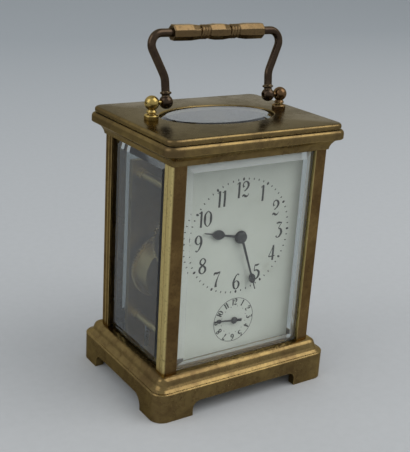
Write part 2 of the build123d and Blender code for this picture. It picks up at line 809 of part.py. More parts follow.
def handle_pivot_screw(side):
    """Headless slotted screw from the outside of a post into the bulb of the handle."""
    inner = handle_leg_x - handle_ball_r + 0.9
    outer = post_x + math.sqrt(post_ball_r ** 2 - pivot_r ** 2) - 0.05
    shank = Plane(origin=(side * inner, 0, handle_z), z_dir=(side, 0, 0)) * Circle(pivot_r)
    body = extrude(shank, amount=outer - inner)
    return body - Pos(side * outer, 0, handle_z) * Box(0.8, 3, 0.35)


# Dial and hands

def dial_plate():
    height = dial_top - dial_bottom
    face = Pos(0, dial_bottom + height / 2) * Rectangle(dial_w, height)
    face = face - Pos(*hour_at) * Circle(pipe_r + 0.25) - Pos(*alarm_at) * Circle(arbor_r + 0.25)
    plate = slab(face, dial_y, dial_back)
    for x, z in dial_feet():
        plate = plate + rod(x, z, 0.9, dial_back, front_back - 0.2)
    return plate


def dial_feet():
    x = plate_w / 2 - 2.4
    return [(-x, 32.0), (x, 32.0), (-x, 77.0), (x, 77.0)]


def hand_face(length, hub_r, bore_r, leaf_in, leaf_w, stem_w, tail):
    """Outline of a hand that points up: hub, tapered stem, leaf and fine point."""
    leaf_at = length - leaf_in
    leaf_len = leaf_w * 3.2
    stem = Polygon((-stem_w, 0), (stem_w, 0), (stem_w * 0.55, leaf_at), (-stem_w * 0.55, leaf_at), align=None)
    tip = Polygon((-stem_w * 0.6, leaf_at), (stem_w * 0.6, leaf_at), (0.12, length), (-0.12, length), align=None)
    half = leaf_len / 2
    leaf_r = (half ** 2 + leaf_w ** 2) / (2 * leaf_w)
    with BuildSketch() as leaf:
        with BuildLine():
            left = ThreePointArc((0, leaf_at - half), (-leaf_w, leaf_at), (0, leaf_at + half))
            ThreePointArc(left @ 1, (leaf_w, leaf_at), left @ 0)
        make_face()
    face = Circle(hub_r) + stem + tip + leaf.sketch
    if tail > 0:
        face = face + Polygon((-stem_w, 0), (-stem_w * 1.6, -tail), (stem_w * 1.6, -tail), (stem_w, 0), align=None)
    return face - Circle(bore_r)


def hand(face, place, clock_angle, y0):
    return slab(Pos(*place) * Rot(0, 0, -clock_angle) * face, y0, y0 + hand_t)


# Movement plates

def arbor_holes():
    """Bearing holes that both plates share, with their radii."""
    pin = pivot_pin_r + pivot_hole_gap
    places = [(inter_at, pin), (third_at, pin), (contrate_at, pin), (alarm_esc_at, pin), (hammer_at, pin)]
    places.append((hour_at, centre_tube_r + pivot_hole_gap))
    places.append((alarm_at, arbor_r + pivot_hole_gap))
    return places


def plate_face():
    height = plate_top - rim_low
    face = Pos(0, rim_low + height / 2) * Rectangle(plate_w, height)
    for place, radius in arbor_holes():
        face = face - Pos(*place) * Circle(radius)
    return face


def movement_pillar_places():
    return [(-mp_x, mp_low), (mp_x, mp_low), (-mp_x, mp_high), (mp_x, mp_high)]


def platform_screw_places():
    x = platform_w / 2 - 2.4
    front_mid = (front_y + front_back) / 2
    back_mid = (back_y + back_back) / 2
    return [(-x, front_mid), (x, front_mid), (-x, back_mid), (x, back_mid)]


def front_plate():
    face = plate_face()
    for place in movement_pillar_places():
        face = face - Pos(*place) * Circle(rivet_r)
    for place in dial_feet():
        face = face - Pos(*place) * Circle(0.9)
    face = face - Pos(*barrel_at) * Circle(barrel_pivot_r + pivot_hole_gap)
    face = face - Pos(*alarm_barrel_at) * Circle(alarm_pivot_r + pivot_hole_gap)
    plate = slab(face, front_y, front_back)
    for place in (minute_at, idler_at):
        plate = plate + rod(*place, stud_pin_r, dial_back + 0.5, front_y)
    for x, y in platform_screw_places()[:2]:
        plate = plate - post(x, y, small_r, plate_top - 3, plate_top + 1)
    return plate


def back_plate():
    clicks = (click_place(barrel_at, ratchet_r, 1), click_place(alarm_barrel_at, alarm_ratchet_r, -1))
    face = plate_face()
    for place in movement_pillar_places():
        face = face - Pos(*place) * Circle(screw_r + pivot_hole_gap)
    face = face - Pos(*barrel_at) * Circle(barrel_arbor_r + pivot_hole_gap)
    face = face - Pos(*alarm_barrel_at) * Circle(alarm_arbor_r + pivot_hole_gap)
    plate = slab(face, back_y, back_back)
    for x, y in platform_screw_places()[2:]:
        plate = plate - post(x, y, small_r, plate_top - 3, plate_top + 1)
    for place in clicks:
        plate = plate + rod(*place, click_stud_r, back_back, back_back + ratchet_gap + click_t + 0.3)
    return plate


def movement_pillar(x, z):
    body = rod(x, z, mp_r, front_back, back_y)
    waist = rod(x, z, mp_r + 1, front_back + 3, back_y - 3) - rod(x, z, mp_r - 0.5, front_back, back_y)
    body = body - waist + rod(x, z, rivet_r, front_y, front_back)
    body = body - rod(x, z, screw_r, back_y - 4, back_y + 1)
    if z < hour_z:
        body = body - post(x, seat_y, screw_r, z - mp_r - 1, z)
    return body


def plate_screw(x, z):
    head = rod(x, z, screw_head_r, back_back, back_back + screw_head_t)
    slot = block(x - 3, x + 3, back_back + screw_head_t / 2, back_back + 3, z - 0.2, z + 0.2)
    return head - slot + rod(x, z, screw_r, back_y - 3.6, back_back)


# Wheels of the going train

def arbor(place, radius):
    """Arbor between the plates with a pivot at each end."""
    body = rod(*place, radius, front_back + end_shake, back_y - end_shake)
    return body + rod(*place, pivot_pin_r, front_y, back_back)


def crossed(teeth, module, phase, place, y0, thick, hub_r, rim):
    """Crossed-out wheel with four arms."""
    root_r = module * (teeth / 2 - wheel_ded)
    face = wheel_face(teeth, module, phase) - arms(root_r - rim, hub_r + 1.2, 4, 1.5)
    return slab(Pos(*place) * face, y0, y0 + thick)


def pinion(leaves, module, phase, place, y0, y1):
    return slab(Pos(*place) * leaf_face(leaves, module, phase), y0, y1)


def going_barrel():
    y1 = front_back + great_lvl
    y0 = y1 - drum_len
    ring = slab(Pos(*barrel_at) * (wheel_face(great_teeth, great_m, great_phase) - Circle(drum_r - drum_wall)),
                y1, y1 + great_t)
    wall = rod(*barrel_at, drum_r, y0, y1) - rod(*barrel_at, drum_r - drum_wall, y0 - 1, y1 + 1)
    back = rod(*barrel_at, drum_r - drum_wall, y1 + great_t - drum_wall, y1 + great_t)
    back = back - rod(*barrel_at, barrel_arbor_r + pivot_hole_gap, y1, y1 + great_t + 1)
    return ring + wall + back


def barrel_cover():
    y0 = front_back + great_lvl - drum_len
    face = Circle(drum_r - drum_wall) - Circle(barrel_arbor_r + pivot_hole_gap)
    face = face - Pos(drum_r - 2.6, 0) * Rectangle(1.6, 2.6)
    return slab(Pos(*barrel_at) * face, y0, y0 + drum_wall)


def mainspring():
    y0 = front_back + great_lvl - drum_len + drum_wall + 0.2
    y1 = front_back + great_lvl + great_t - drum_wall - 0.2
    face = Circle(drum_r - drum_wall) - Circle(spring_in_r)
    return slab(Pos(*barrel_at) * face, y0, y1)


def squared_arbor(place, radius, pivot, y_front, y_square, side):
    """Arbor with a front pivot, a body through the back plate and a winding square."""
    body = rod(*place, pivot, front_y, y_front) + rod(*place, radius, y_front, y_square)
    return body + slab(Pos(*place) * Rot(0, 0, 20) * Rectangle(side, side), y_square, square_end)


def ratchet_face(radius):
    """Saw teeth, each with a radial face and a slope."""
    pitch = 360.0 / ratchet_teeth
    points = []
    for index in range(ratchet_teeth):
        angle = index * pitch
        points.append(polar(radius, angle))
        points.append(polar(radius - ratchet_depth, angle))
    return Polygon(*points, align=None)


def click_stud(radius):
    """Middle of a click's stud, counted from the middle of its ratchet wheel."""
    return (radius - 0.3, radius + 1.0)


def click_place(place, radius, side):
    dx, dz = click_stud(radius)
    return (place[0] + side * dx, place[1] + dz)


def ratchet(radius, side):
    face = ratchet_face(radius)
    if side < 0:
        face = mirror(face, about=Plane.YZ)
    return face


def click_solid(place, radius, side):
    """Click with a round eye and a nose that drops into the ratchet teeth."""
    dx, dz = click_stud(radius)
    nose = (radius - ratchet_depth + click_play, click_play)
    blade = Polygon(nose, (radius + 1.1, click_play), (dx + 1.2, dz), (dx - 1.2, dz),
                    (radius + 0.35, 1.7), align=None)
    face = blade + Pos(dx, dz) * Circle(1.7) - Pos(dx, dz) * Circle(click_stud_r + pivot_hole_gap)
    if side < 0:
        face = mirror(face, about=Plane.YZ)
    return slab(Pos(*place) * face, ratchet_y, ratchet_y + click_t)


def click_spring(place, radius, side):
    """Leaf spring beside a click, screwed to the back plate at its foot."""
    dx, dz = click_stud(radius)
    foot = (radius + 4.6, dz - 5.6)
    tip = (dx + 1.95, dz - 1.2)
    leaf = Polygon((foot[0] - 0.2, foot[1]), (foot[0] + 0.3, foot[1]), (tip[0] + 0.3, tip[1]), tip, align=None)
    face = leaf + Pos(*foot) * Circle(1.3)
    if side < 0:
        face = mirror(face, about=Plane.YZ)
    return slab(Pos(*place) * face, back_back, back_back + 1.1)


# Contrate wheel and platform

def contrate_wheel():
    root_y = front_back + contrate_lvl
    rim_in = contrate_pitch_r - 0.75
    rim_out = contrate_pitch_r + 0.75
    rim = slab(Pos(*contrate_at) * (Circle(rim_out) - Circle(rim_in)), root_y, root_y + 1.6)
    web = Circle(rim_in + 0.1) - arms(rim_in, 2.2, 4, 1.2)
    body = rim + slab(Pos(*contrate_at) * web, root_y + 0.8, root_y + 1.6)
    height = contrate_m * (wheel_add + wheel_ded)
    pitch_len = math.pi * contrate_m
    tooth = Polygon((-pitch_len * 0.08, -height), (pitch_len * 0.08, -height), (pitch_len * 0.36, 0.1),
                    (-pitch_len * 0.36, 0.1), align=None)
    prism = Pos(0, 0, rim_in) * extrude(tooth, amount=rim_out - rim_in)
    teeth = []
    for index in range(contrate_teeth):
        turn = 360.0 / contrate_teeth * index
        teeth.append(Pos(contrate_at[0], root_y, contrate_at[1]) * Rot(0, turn, 0) * prism)
    body = body + teeth
    leaves = pinion(contrate_leaves, third_m, contrate_leaf_phase, contrate_at,
                    front_back + third_lvl - 0.7, front_back + third_lvl + leaf_len - 0.7)
    return body + leaves + arbor(contrate_at, arbor_r * 0.9)


def platform_plate():
    plate = block(-platform_w / 2, platform_w / 2, front_y, back_back, plate_top, platform_top)
    plate = fillet(plate.edges().filter_by(Axis.Z), 1.5)
    plate = plate - post(escape_x, escape_y, 1.6, plate_top - 1, platform_top + 1)
    for x, y in ((lever_x, lever_y), (balance_x, balance_y)):
        plate = plate - post(x, y, pivot_small_r + pivot_hole_gap, plate_top - 1, platform_top + 1)
    for x, y in platform_screw_places():
        plate = plate - post(x, y, small_r + pivot_hole_gap, plate_top - 1, platform_top + 1)
    for x, y in cock_screw_places():
        plate = plate - post(x, y, small_r, plate_top - 1, platform_top + 1)
    leg_x = escape_x - 3.4
    y0 = escape_y - 1.6
    y1 = escape_y + 0.5
    arm = block(leg_x - 1.2, escape_x + 0.8, y0, y1, potence_z, potence_z + potence_t)
    leg = block(leg_x - 1.2, leg_x, y0, y1, potence_z, plate_top)
    bearing = post(escape_x, escape_y, pivot_small_r + pivot_hole_gap, potence_z - 1, potence_z + 2)
    return plate + (arm + leg - bearing)


def escape_wheel():
    pitch = 360.0 / escape_teeth
    points = []
    for index in range(escape_teeth):
        angle = index * pitch
        points.append(polar(escape_r - 1.0, angle - pitch * 0.42))
        points.append(polar(escape_r, angle))
        points.append(polar(escape_r, angle + pitch * 0.07))
        points.append(polar(escape_r - 1.0, angle + pitch * 0.3))
    face = Polygon(*points, align=None) - arms(escape_r - 1.5, 0.9, 4, 0.5)
    body = level(Pos(escape_x, escape_y) * face, escape_z, escape_z + 0.5)
    leaves = level(Pos(escape_x, escape_y) * leaf_face(escape_leaves, contrate_m, 90.0 + 180.0 / escape_leaves),
                   potence_z + potence_t + 0.3, plate_top - 0.8)
    body = body + leaves + post(escape_x, escape_y, 0.5, potence_z + potence_t + 0.1, escape_z + 1.0)
    return body + post(escape_x, escape_y, pivot_small_r, potence_z, cock_low + cock_t * 0.6)


def cock_screw_places():
    left_x, left_y = polar(escape_r + 2.6, escape_line + 180.0)
    right_x, right_y = polar(balance_r + 3.1, balance_foot)
    return [(escape_x + left_x, escape_y + left_y), (balance_x + right_x, balance_y + right_y)]


def escape_cock():
    foot = cock_screw_places()[0]
    line = escape_line
    length = math.hypot(lever_x - foot[0], lever_y - foot[1])
    bar = Pos(*foot) * Rot(0, 0, line) * Pos(length / 2, 0) * Rectangle(length, 2.4)
    bar = bar + Pos(*foot) * Circle(1.9) + Pos(lever_x, lever_y) * Circle(1.2)
    body = level(bar, cock_low, cock_low + cock_t * 0.6)
    body = body + post(*foot, 1.9, platform_top, cock_low + cock_t * 0.6)
    for x, y in ((escape_x, escape_y), (lever_x, lever_y)):
        body = body - post(x, y, pivot_small_r + pivot_hole_gap, cock_low - 1, cock_low + cock_t + 1)
    return body - post(*foot, small_r + pivot_hole_gap, platform_top - 1, cock_low + cock_t + 1)


def pallet_lever():
    """Lever with two pallet arms on the escape side and a fork on the balance side."""
    fork_at = lever_to_balance - 2.1
    shape = Rectangle(1.2, 5.6) + Pos(fork_at / 2, 0) * Rectangle(fork_at, 0.7)
    for side in (-1, 1):
        shape = shape + Pos(-1.0, side * 2.9) * Rot(0, 0, side * 25) * Rectangle(2.2, 0.8)
        shape = shape + Pos(fork_at + 0.35, side * 0.62) * Rectangle(0.9, 0.42)
    shape = shape + Pos(fork_at - 0.2, 0) * Rectangle(0.6, 1.6) + Circle(0.9)
    place = Pos(lever_x, lever_y) * Rot(0, 0, escape_line)
    body = level(place * shape, escape_z - 0.05, escape_z + 0.5)
    body = body + post(lever_x, lever_y, 0.45, platform_top + 0.2, cock_low - 0.1)
    return body + post(lever_x, lever_y, pivot_small_r, plate_top, cock_low + cock_t * 0.6)


def balance_wheel():
    rim = Circle(balance_r) - Circle(balance_r - balance_rim_w)
    arm = Rectangle(2 * balance_r - 1, 0.9) + Circle(1.2)
    place = Pos(balance_x, balance_y)
    body = level(place * (rim + arm), balance_z, balance_z + balance_rim_t)
    for index in range(8):
        x, y = polar(balance_r + 0.25, 22.5 + 45 * index)
        body = body + level(place * Pos(x, y) * Circle(0.35), balance_z + 0.2, balance_z + balance_rim_t - 0.2)
    body = body + post(balance_x, balance_y, staff_r, platform_top + 0.2, balance_cock_z - 0.15)
    body = body + post(balance_x, balance_y, pivot_small_r, plate_top, balance_cock_z + cock_t)
    body = body + post(balance_x, balance_y, 1.1, escape_z + 0.75, escape_z + 1.15)
    pin_x, pin_y = polar(0.85, escape_line + 180.0)
    body = body + post(balance_x + pin_x, balance_y + pin_y, 0.18, escape_z - 0.05, escape_z + 0.8)
    return body + post(balance_x, balance_y, 0.85, balance_z + balance_rim_t, hair_z + hair_h)


def hair_path():
    """Flat spiral of half turns whose middles alternate by half the pitch."""
    step = hair_pitch / 2
    arcs = []
    for index in range(2 * hair_turns):
        shift = step if index % 2 else 0.0
        arcs.append(CenterArc((shift, 0), hair_r + step * index, 180.0 * (index % 2), 180.0))
    return Wire(arcs)


def balance_spring():
    """Balance spring, from beside the collet to the stud under the cock."""
    path = hair_path()
    count = 40 * hair_turns
    points = [path @ (index / count) for index in range(count + 1)]
    gaps = []
    for index, point in enumerate(points):
        for other in points[index + 25:]:
            gaps.append((point - other).length)
    print("balance spring, least gap between turns:", round(min(gaps) - hair_w, 3))
    section = Plane(origin=path @ 0, x_dir=(1, 0, 0), z_dir=(0, 1, 0)) * Rectangle(hair_w, hair_h)
    coil = sweep(section, path=path)
    return Pos(balance_x, balance_y, hair_z + hair_h / 2) * Rot(0, 0, balance_foot) * coil


def balance_cock():
    foot = cock_screw_places()[1]
    length = math.hypot(foot[0] - balance_x, foot[1] - balance_y)
    turned = Pos(balance_x, balance_y) * Rot(0, 0, balance_foot)
    bar = turned * Pos(length / 2, 0) * Rectangle(length, 3.4)
    bar = bar + Pos(*foot) * Circle(2.2) + Pos(balance_x, balance_y) * Circle(2.3)
    body = level(bar, balance_cock_z, balance_cock_z + cock_t)
    body = body + post(*foot, 2.2, platform_top, balance_cock_z)
    body = body + post(balance_x, balance_y, 0.9, balance_cock_z + cock_t, balance_cock_z + cock_t + 0.5)
    stud_at = hair_r + hair_pitch * hair_turns
    stud = turned * Pos(stud_at, 0.34) * Rectangle(0.7, 0.64)
    body = body + level(stud, hair_z, balance_cock_z)
    body = body - post(balance_x, balance_y, pivot_small_r + pivot_hole_gap,
                       balance_cock_z - 1, balance_cock_z + cock_t + 0.05)
    return body - post(*foot, small_r + pivot_hole_gap, platform_top - 1, balance_cock_z + 3)


def regulator_index():
    ring = Circle(1.8) - Circle(0.95)
    pointer = Polygon((1.4, -0.45), (6.2, -0.15), (6.2, 0.15), (1.4, 0.45), align=None)
    short = Polygon((-1.3, -0.5), (-1.3, 0.5), (-3.2, 0.3), (-3.2, -0.3), align=None)
    place = Pos(balance_x, balance_y) * Rot(0, 0, balance_foot + 150)
    low = balance_cock_z + cock_t
    return level(place * (ring + pointer + short), low, low + 0.4)


# Motion work

def setting_arbor():
    """Arbor through the hollow centre arbor, with the square that sets the hands."""
    body = rod(*hour_at, cannon_bore, minute_hand_y - 0.3, back_back + 0.6)
    return body + slab(Pos(*hour_at) * Rectangle(1.7, 1.7), back_back + 0.6, square_end)


def cannon_pinion():
    leaves = pinion(cannon_leaves, motion_m, cannon_phase, hour_at, minute_y - 0.4, front_y - 0.4)
    tube = rod(*hour_at, cannon_r, minute_hand_y - 0.1, front_y - 0.4)
    return leaves + tube - rod(*hour_at, cannon_bore, minute_hand_y - 1, front_y)


def minute_wheel():
    face = wheel_face(minute_teeth, motion_m, minute_phase)
    body = slab(Pos(*minute_at) * face, minute_y, minute_y + motion_t)
    body = body + pinion(hour_leaves, hour_m, hour_leaf_phase, minute_at, hour_y - 0.2, minute_y)
    return body - rod(*minute_at, stud_pin_r + pivot_hole_gap, hour_y - 1, front_y)


def hour_wheel():
    face = wheel_face(hour_teeth, hour_m, hour_phase)
    body = slab(Pos(*hour_at) * face, hour_y, hour_y + motion_t)
    body = body + rod(*hour_at, pipe_r, hour_hand_y - 0.1, hour_y)
    return body - rod(*hour_at, pipe_bore, hour_hand_y - 1, front_y)


def alarm_idler():
    face = wheel_face(idler_teeth, hour_m, idler_phase) - arms(7.6, 2.6, 4, 2.0)
    face = face - Circle(stud_pin_r + pivot_hole_gap)
    return slab(Pos(*idler_at) * face, hour_y, hour_y + motion_t)


def alarm_wheel():
    face = wheel_face(hour_teeth, hour_m, alarm_wheel_phase) - Circle(arbor_r + pivot_hole_gap)
    return slab(Pos(*alarm_at) * face, hour_y, hour_y + motion_t)


def alarm_setting_arbor():
    body = rod(*alarm_at, arbor_r, hour_hand_y - 0.3, back_back + 0.6)
    return body + slab(Pos(*alarm_at) * Rectangle(1.7, 1.7), back_back + 0.6, square_end)


# Alarm work

def alarm_barrel():
    y1 = front_back + great_lvl
    y0 = y1 - alarm_drum_len
    face = wheel_face(alarm_teeth, alarm_m, alarm_phase) - Circle(alarm_arbor_r + pivot_hole_gap)
    ring = slab(Pos(*alarm_barrel_at) * face, y1, y1 + great_t)
    return ring + rod(*alarm_barrel_at, alarm_drum_r, y0, y1) \
        - rod(*alarm_barrel_at, alarm_drum_r - drum_wall, y0 + drum_wall, y1) \
        - rod(*alarm_barrel_at, alarm_arbor_r + pivot_hole_gap, y0 - 1, y1)


def alarm_barrel_arbor():
    """Arbor of the alarm barrel, with its ratchet wheel cut from the same piece."""
    y_square = ratchet_y + ratchet_t
    body = squared_arbor(alarm_barrel_at, alarm_arbor_r, alarm_pivot_r, front_back + end_shake, y_square, 2.0)
    face = Pos(*alarm_barrel_at) * ratchet(alarm_ratchet_r, -1)
    return body + slab(face, ratchet_y, ratchet_y + ratchet_t)


def alarm_escape_wheel():
    y0 = front_back + alarm_escape_lvl
    pitch = 360.0 / alarm_escape_teeth
    points = []
    for index in range(alarm_escape_teeth):
        angle = index * pitch
        points.append(polar(alarm_escape_r, angle))
        points.append(polar(alarm_escape_r - 1.1, angle + pitch * 0.35))
        points.append(polar(alarm_escape_r - 1.1, angle + pitch * 0.6))
    face = Polygon(*points, align=None)
    body = slab(Pos(*alarm_esc_at) * face, y0, y0 + wheel_t)
    leaf_y = front_back + great_lvl - 0.6
    body = body + pinion(alarm_leaves, alarm_m, alarm_leaf_phase, alarm_esc_at, leaf_y, leaf_y + leaf_len)
    return body + arbor(alarm_esc_at, arbor_r)


def alarm_hammer():
    """Hammer on its arbor, with two pallet arms beside the alarm escape wheel."""
    body = arbor(hammer_at, arbor_r)
    dx = hammer_head_x - hammer_x
    dz = hammer_head_z - hammer_z
    stem_len = math.hypot(dx, dz)
    line = math.degrees(math.atan2(dz, dx))
    stem = Pos(*hammer_at) * Rot(0, 0, line) * Pos(stem_len / 2, 0) * Rectangle(stem_len, 1.1)
    body = body + slab(stem, hammer_y - 0.55, hammer_y + 0.55)
    head = Pos(hammer_head_x, hammer_y, hammer_head_z) * Rot(0, 90, 0) * Cylinder(hammer_head_r, 3.0)
    body = body + head + rod(*hammer_at, 1.8, hammer_y - 1.2, hammer_y + 1.2)
    y0 = front_back + alarm_escape_lvl
    to_wheel = angle_to(hammer_at, alarm_esc_at)
    pallets = Circle(1.6)
    for side in (-1, 1):
        pallets = pallets + Rot(0, 0, to_wheel + side * 38) * Pos(pallet_len / 2, 0) * Rectangle(pallet_len, 1.0)
    return body + slab(Pos(*hammer_at) * pallets, y0, y0 + wheel_t)


def bell():
    """Cup-shaped bell with its mouth up, under the floor plate."""
    profile = [(bell_r * share, bell_low + bell_h * rise) for share, rise in bell_form]
    inside = [(x - bell_t if rise > 0.2 else x - bell_t * 0.5, z if rise > 0.9 else z + bell_t * 0.9)
              for (x, z), (_, rise) in zip(profile, bell_form)]
    inside[0] = (profile[0][0], bell_low + bell_t)
    points = [(screw_r, bell_low)] + profile + inside[::-1] + [(screw_r, bell_low + bell_t)]
    return revolve(Plane.XZ * make_face(Polyline(*points, close=True)), Axis.Z)


# Files

def build():
    os.makedirs("parts", exist_ok=True)
    pillars = [pillar(x, y) for x, y in corner_places()]
    seat_places = [(side * mp_x, seat_y) for side in (-1, 1)]
    floor_low = rim_low - floor_t
    save("base_plinth", base_plinth())
    save("base_floor", base_floor())
    save("corner_pillars", pillars)
    save("base_screws", [screw_up(x, y, floor_low, floor_t + rim_t + screw_depth - 0.5,
                                  screw_r, screw_head_r, screw_head_t) for x, y in corner_places()])
    save("cornice", cornice())
    save("top_glass", top_glass())
    save("top_glass_retainer", top_glass_retainer())
    save("retainer_screws", [screw_up(x, y, top_glass_low - retainer_t, retainer_t + 2.4,
                                      small_r, small_head_r, small_head_t) for x, y in retainer_places()])
    save("front_glass", front_panel())
    save("side_glasses", [side_panel(-1), side_panel(1)])
    save("rear_door_frame", rear_door_frame())
    save("rear_door_glass", rear_door_glass())
    save("door_knob", door_knob())
    save("door_hinge_pins", door_hinge_pins())
    save("handle", handle())
    save("handle_posts", [handle_post(-1), handle_post(1)])
    save("handle_pivot_screws", [handle_pivot_screw(-1), handle_pivot_screw(1)])
    save("dial_plate", dial_plate())
    hour_face = hand_face(hour_len, hour_hub_r, pipe_r, hour_leaf_in, hour_leaf_w, hour_stem_w, 0)
    minute_face = hand_face(minute_len, minute_hub_r, cannon_r, minute_leaf_in, minute_leaf_w, minute_stem_w, 0)
    alarm_face = hand_face(alarm_len, alarm_hub_r, arbor_r, alarm_leaf_in, alarm_leaf_w, alarm_stem_w, alarm_tail)
    save("hour_hand", hand(hour_face, hour_at, hour_angle, hour_hand_y))
    save("minute_hand", hand(minute_face, hour_at, minute_angle, minute_hand_y))
    save("alarm_hand", hand(alarm_face, alarm_at, alarm_angle, hour_hand_y))
    save("front_plate", front_plate())
    save("back_plate", back_plate())
    save("movement_pillars", [movement_pillar(x, z) for x, z in movement_pillar_places()])
    save("plate_screws", [plate_screw(x, z) for x, z in movement_pillar_places()])
    save("seat_screws", [screw_up(x, y, floor_low, mp_low - floor_low - 0.5, screw_r, screw_head_r, screw_head_t)
                         for x, y in seat_places])
    save("going_barrel", going_barrel())
    save("barrel_cover", barrel_cover())
    save("mainspring", mainspring())
    save("barrel_arbor", squared_arbor(barrel_at, barrel_arbor_r, barrel_pivot_r, front_back + end_shake,
                                       ratchet_y + ratchet_t, square_side))
    wheel = Pos(*barrel_at) * (ratchet(ratchet_r, 1) - Circle(barrel_arbor_r))
    save("ratchet_wheel", slab(wheel, ratchet_y, ratchet_y + ratchet_t))
    save("click", click_solid(barrel_at, ratchet_r, 1))
    save("click_springs", [click_spring(barrel_at, ratchet_r, 1),
                           click_spring(alarm_barrel_at, alarm_ratchet_r, -1)])
    inter_y = front_back + inter_lvl
    inter_leaf_y = front_back + great_lvl - 0.6
    save("intermediate_wheel",
         crossed(inter_teeth, inter_m, inter_phase, inter_at, inter_y, wheel_t, 2.0, 1.6)
         + pinion(inter_leaves, great_m, inter_leaf_phase, inter_at, inter_leaf_y, inter_leaf_y + leaf_len)
         + arbor(inter_at, arbor_r))
    centre_y = front_back + centre_lvl
    save("centre_wheel",
         crossed(centre_teeth, centre_m, centre_phase, hour_at, centre_y, wheel_t, 2.2, 1.6)
         + pinion(centre_leaves, inter_m, centre_leaf_phase, hour_at, inter_y - 0.7, inter_y - 0.7 + leaf_len)
         + rod(*hour_at, centre_tube_r, front_y, back_back)
         - rod(*hour_at, centre_bore, front_y - 1, back_back + 1))
    third_y = front_back + third_lvl
    save("third_wheel",
         crossed(third_teeth, third_m, third_phase, third_at, third_y, wheel_t, 1.8, 1.3)
         + pinion(third_leaves, centre_m, third_leaf_phase, third_at, centre_y - 0.7, centre_y - 0.7 + leaf_len)
         + arbor(third_at, arbor_r))
    save("contrate_wheel", contrate_wheel())
    save("platform_plate", platform_plate())
    save("escape_wheel", escape_wheel())
    save("escape_cock", escape_cock())
    save("pallet_lever", pallet_lever())
    save("balance_wheel", balance_wheel())
    save("balance_spring", balance_spring())
    save("balance_cock", balance_cock())
    save("regulator_index", regulator_index())
    heights = [platform_top] * 4 + [cock_low + cock_t * 0.6, balance_cock_z + cock_t]
    depths = [platform_t + 2.6] * 4 + [cock_low + cock_t * 0.6 - plate_top - 0.2, balance_cock_z + cock_t - plate_top - 0.2]
    places = platform_screw_places() + cock_screw_places()
    save("platform_screws", [screw_down(x, y, z, depth, small_r, small_head_r, small_head_t)
                             for (x, y), z, depth in zip(places, heights, depths)])
    save("setting_arbor", setting_arbor())
    save("cannon_pinion", cannon_pinion())
    save("minute_wheel", minute_wheel())
    save("hour_wheel", hour_wheel())
    save("alarm_idler", alarm_idler())
    save("alarm_wheel", alarm_wheel())
    save("alarm_setting_arbor", alarm_setting_arbor())
    save("alarm_barrel", alarm_barrel())
    save("alarm_barrel_arbor", alarm_barrel_arbor())
    save("alarm_click", click_solid(alarm_barrel_at, alarm_ratchet_r, -1))
    save("alarm_escape_wheel", alarm_escape_wheel())
    save("alarm_hammer", alarm_hammer())
    save("bell", bell())
    save("bell_screw", screw_up(0, 0, bell_low, bell_t + bell_screw_hole - 0.2, screw_r, screw_head_r, screw_head_t))


build()
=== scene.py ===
import math

import bmesh
import bpy
from mathutils import Matrix, Vector


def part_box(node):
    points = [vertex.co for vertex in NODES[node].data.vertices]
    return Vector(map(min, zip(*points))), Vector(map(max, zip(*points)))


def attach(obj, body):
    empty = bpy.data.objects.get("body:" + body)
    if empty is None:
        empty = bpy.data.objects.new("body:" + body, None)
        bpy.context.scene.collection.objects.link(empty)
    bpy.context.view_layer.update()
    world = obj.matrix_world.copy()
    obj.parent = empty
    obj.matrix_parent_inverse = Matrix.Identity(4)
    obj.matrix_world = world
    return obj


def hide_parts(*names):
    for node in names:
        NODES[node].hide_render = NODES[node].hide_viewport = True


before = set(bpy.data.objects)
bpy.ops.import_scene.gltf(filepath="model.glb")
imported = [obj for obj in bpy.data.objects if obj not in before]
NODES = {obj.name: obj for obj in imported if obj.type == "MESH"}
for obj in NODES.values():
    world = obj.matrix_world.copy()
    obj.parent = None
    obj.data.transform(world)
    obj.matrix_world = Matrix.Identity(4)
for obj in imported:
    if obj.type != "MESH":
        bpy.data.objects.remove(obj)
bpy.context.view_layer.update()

MM = 0.001

# Camera: azimuth, elevation and roll in degrees, its place in metres, and the lens for a 36 mm high sensor
CAMERA_TURN = (-34.23, 19.83, 3.57)
CAMERA_AT = (-0.18612, -0.26959, 0.18115)
CAMERA_LENS = 68.67
SENSOR_HEIGHT = 36.0

# Centres of the two dials as (x, z), in metres, as the solids have them
HOUR_AT = (0.0, 65.6 * MM)
ALARM_AT = (0.0, 30.2 * MM)

# The print stands on the front of the dial plate, its strokes a little above each other, its back sunk in
DIAL_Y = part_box("dial_plate")[0].y
INK_Y = DIAL_Y - 0.04 * MM
INK_BACK_Y = DIAL_Y + 0.01 * MM
STROKE_LIFT = 0.002 * MM

# Radii on which the print lies, and its sizes; marks and dots are (half width, half length)
HOUR_FIGURES_R = 18.9 * MM
HOUR_FIGURES_HEIGHT = 6.1 * MM
MINUTE_MARKS_R = 23.1 * MM
MINUTE_MARK = (0.24 * MM, 0.44 * MM)
HOUR_MARK = (0.46 * MM, 0.66 * MM)
ALARM_FIGURES_R = 7.7 * MM
ALARM_FIGURES_HEIGHT = 2.5 * MM
ALARM_DOTS_R = 5.9 * MM
ALARM_DOT = (0.17 * MM, 0.17 * MM)
ALARM_CIRCLE_R = 9.35 * MM
ALARM_CIRCLE_WIDTH = 0.20 * MM

# Cornice, in millimetres: half sizes over the pillars, and how far its two tiers stand out from them
CASE_HALF = (35.0, 26.0)
PILLAR_SIDE = 5.7
INNER_CORNER_R = 0.4
BULL_OVER = 5.0
TIER_OVER = 4.0

# Its cove: height, overhang at its foot, corner radius there and how much it grows up to the top, and the
# overhang at each share of its height. Then the heights of the tiers over the cornice's foot.
COVE_HEIGHT = 4.5
COVE_FOOT_OVER = 0.4
COVE_CORNER_R = 0.8
COVE_CORNER_GROWTH = 2.0
COVE_OVER = ((0.25, 0.75), (0.5, 1.35), (0.75, 2.25), (1.0, 3.4))
BULL_TOP = 8.4
TIER_FOOT = 8.85

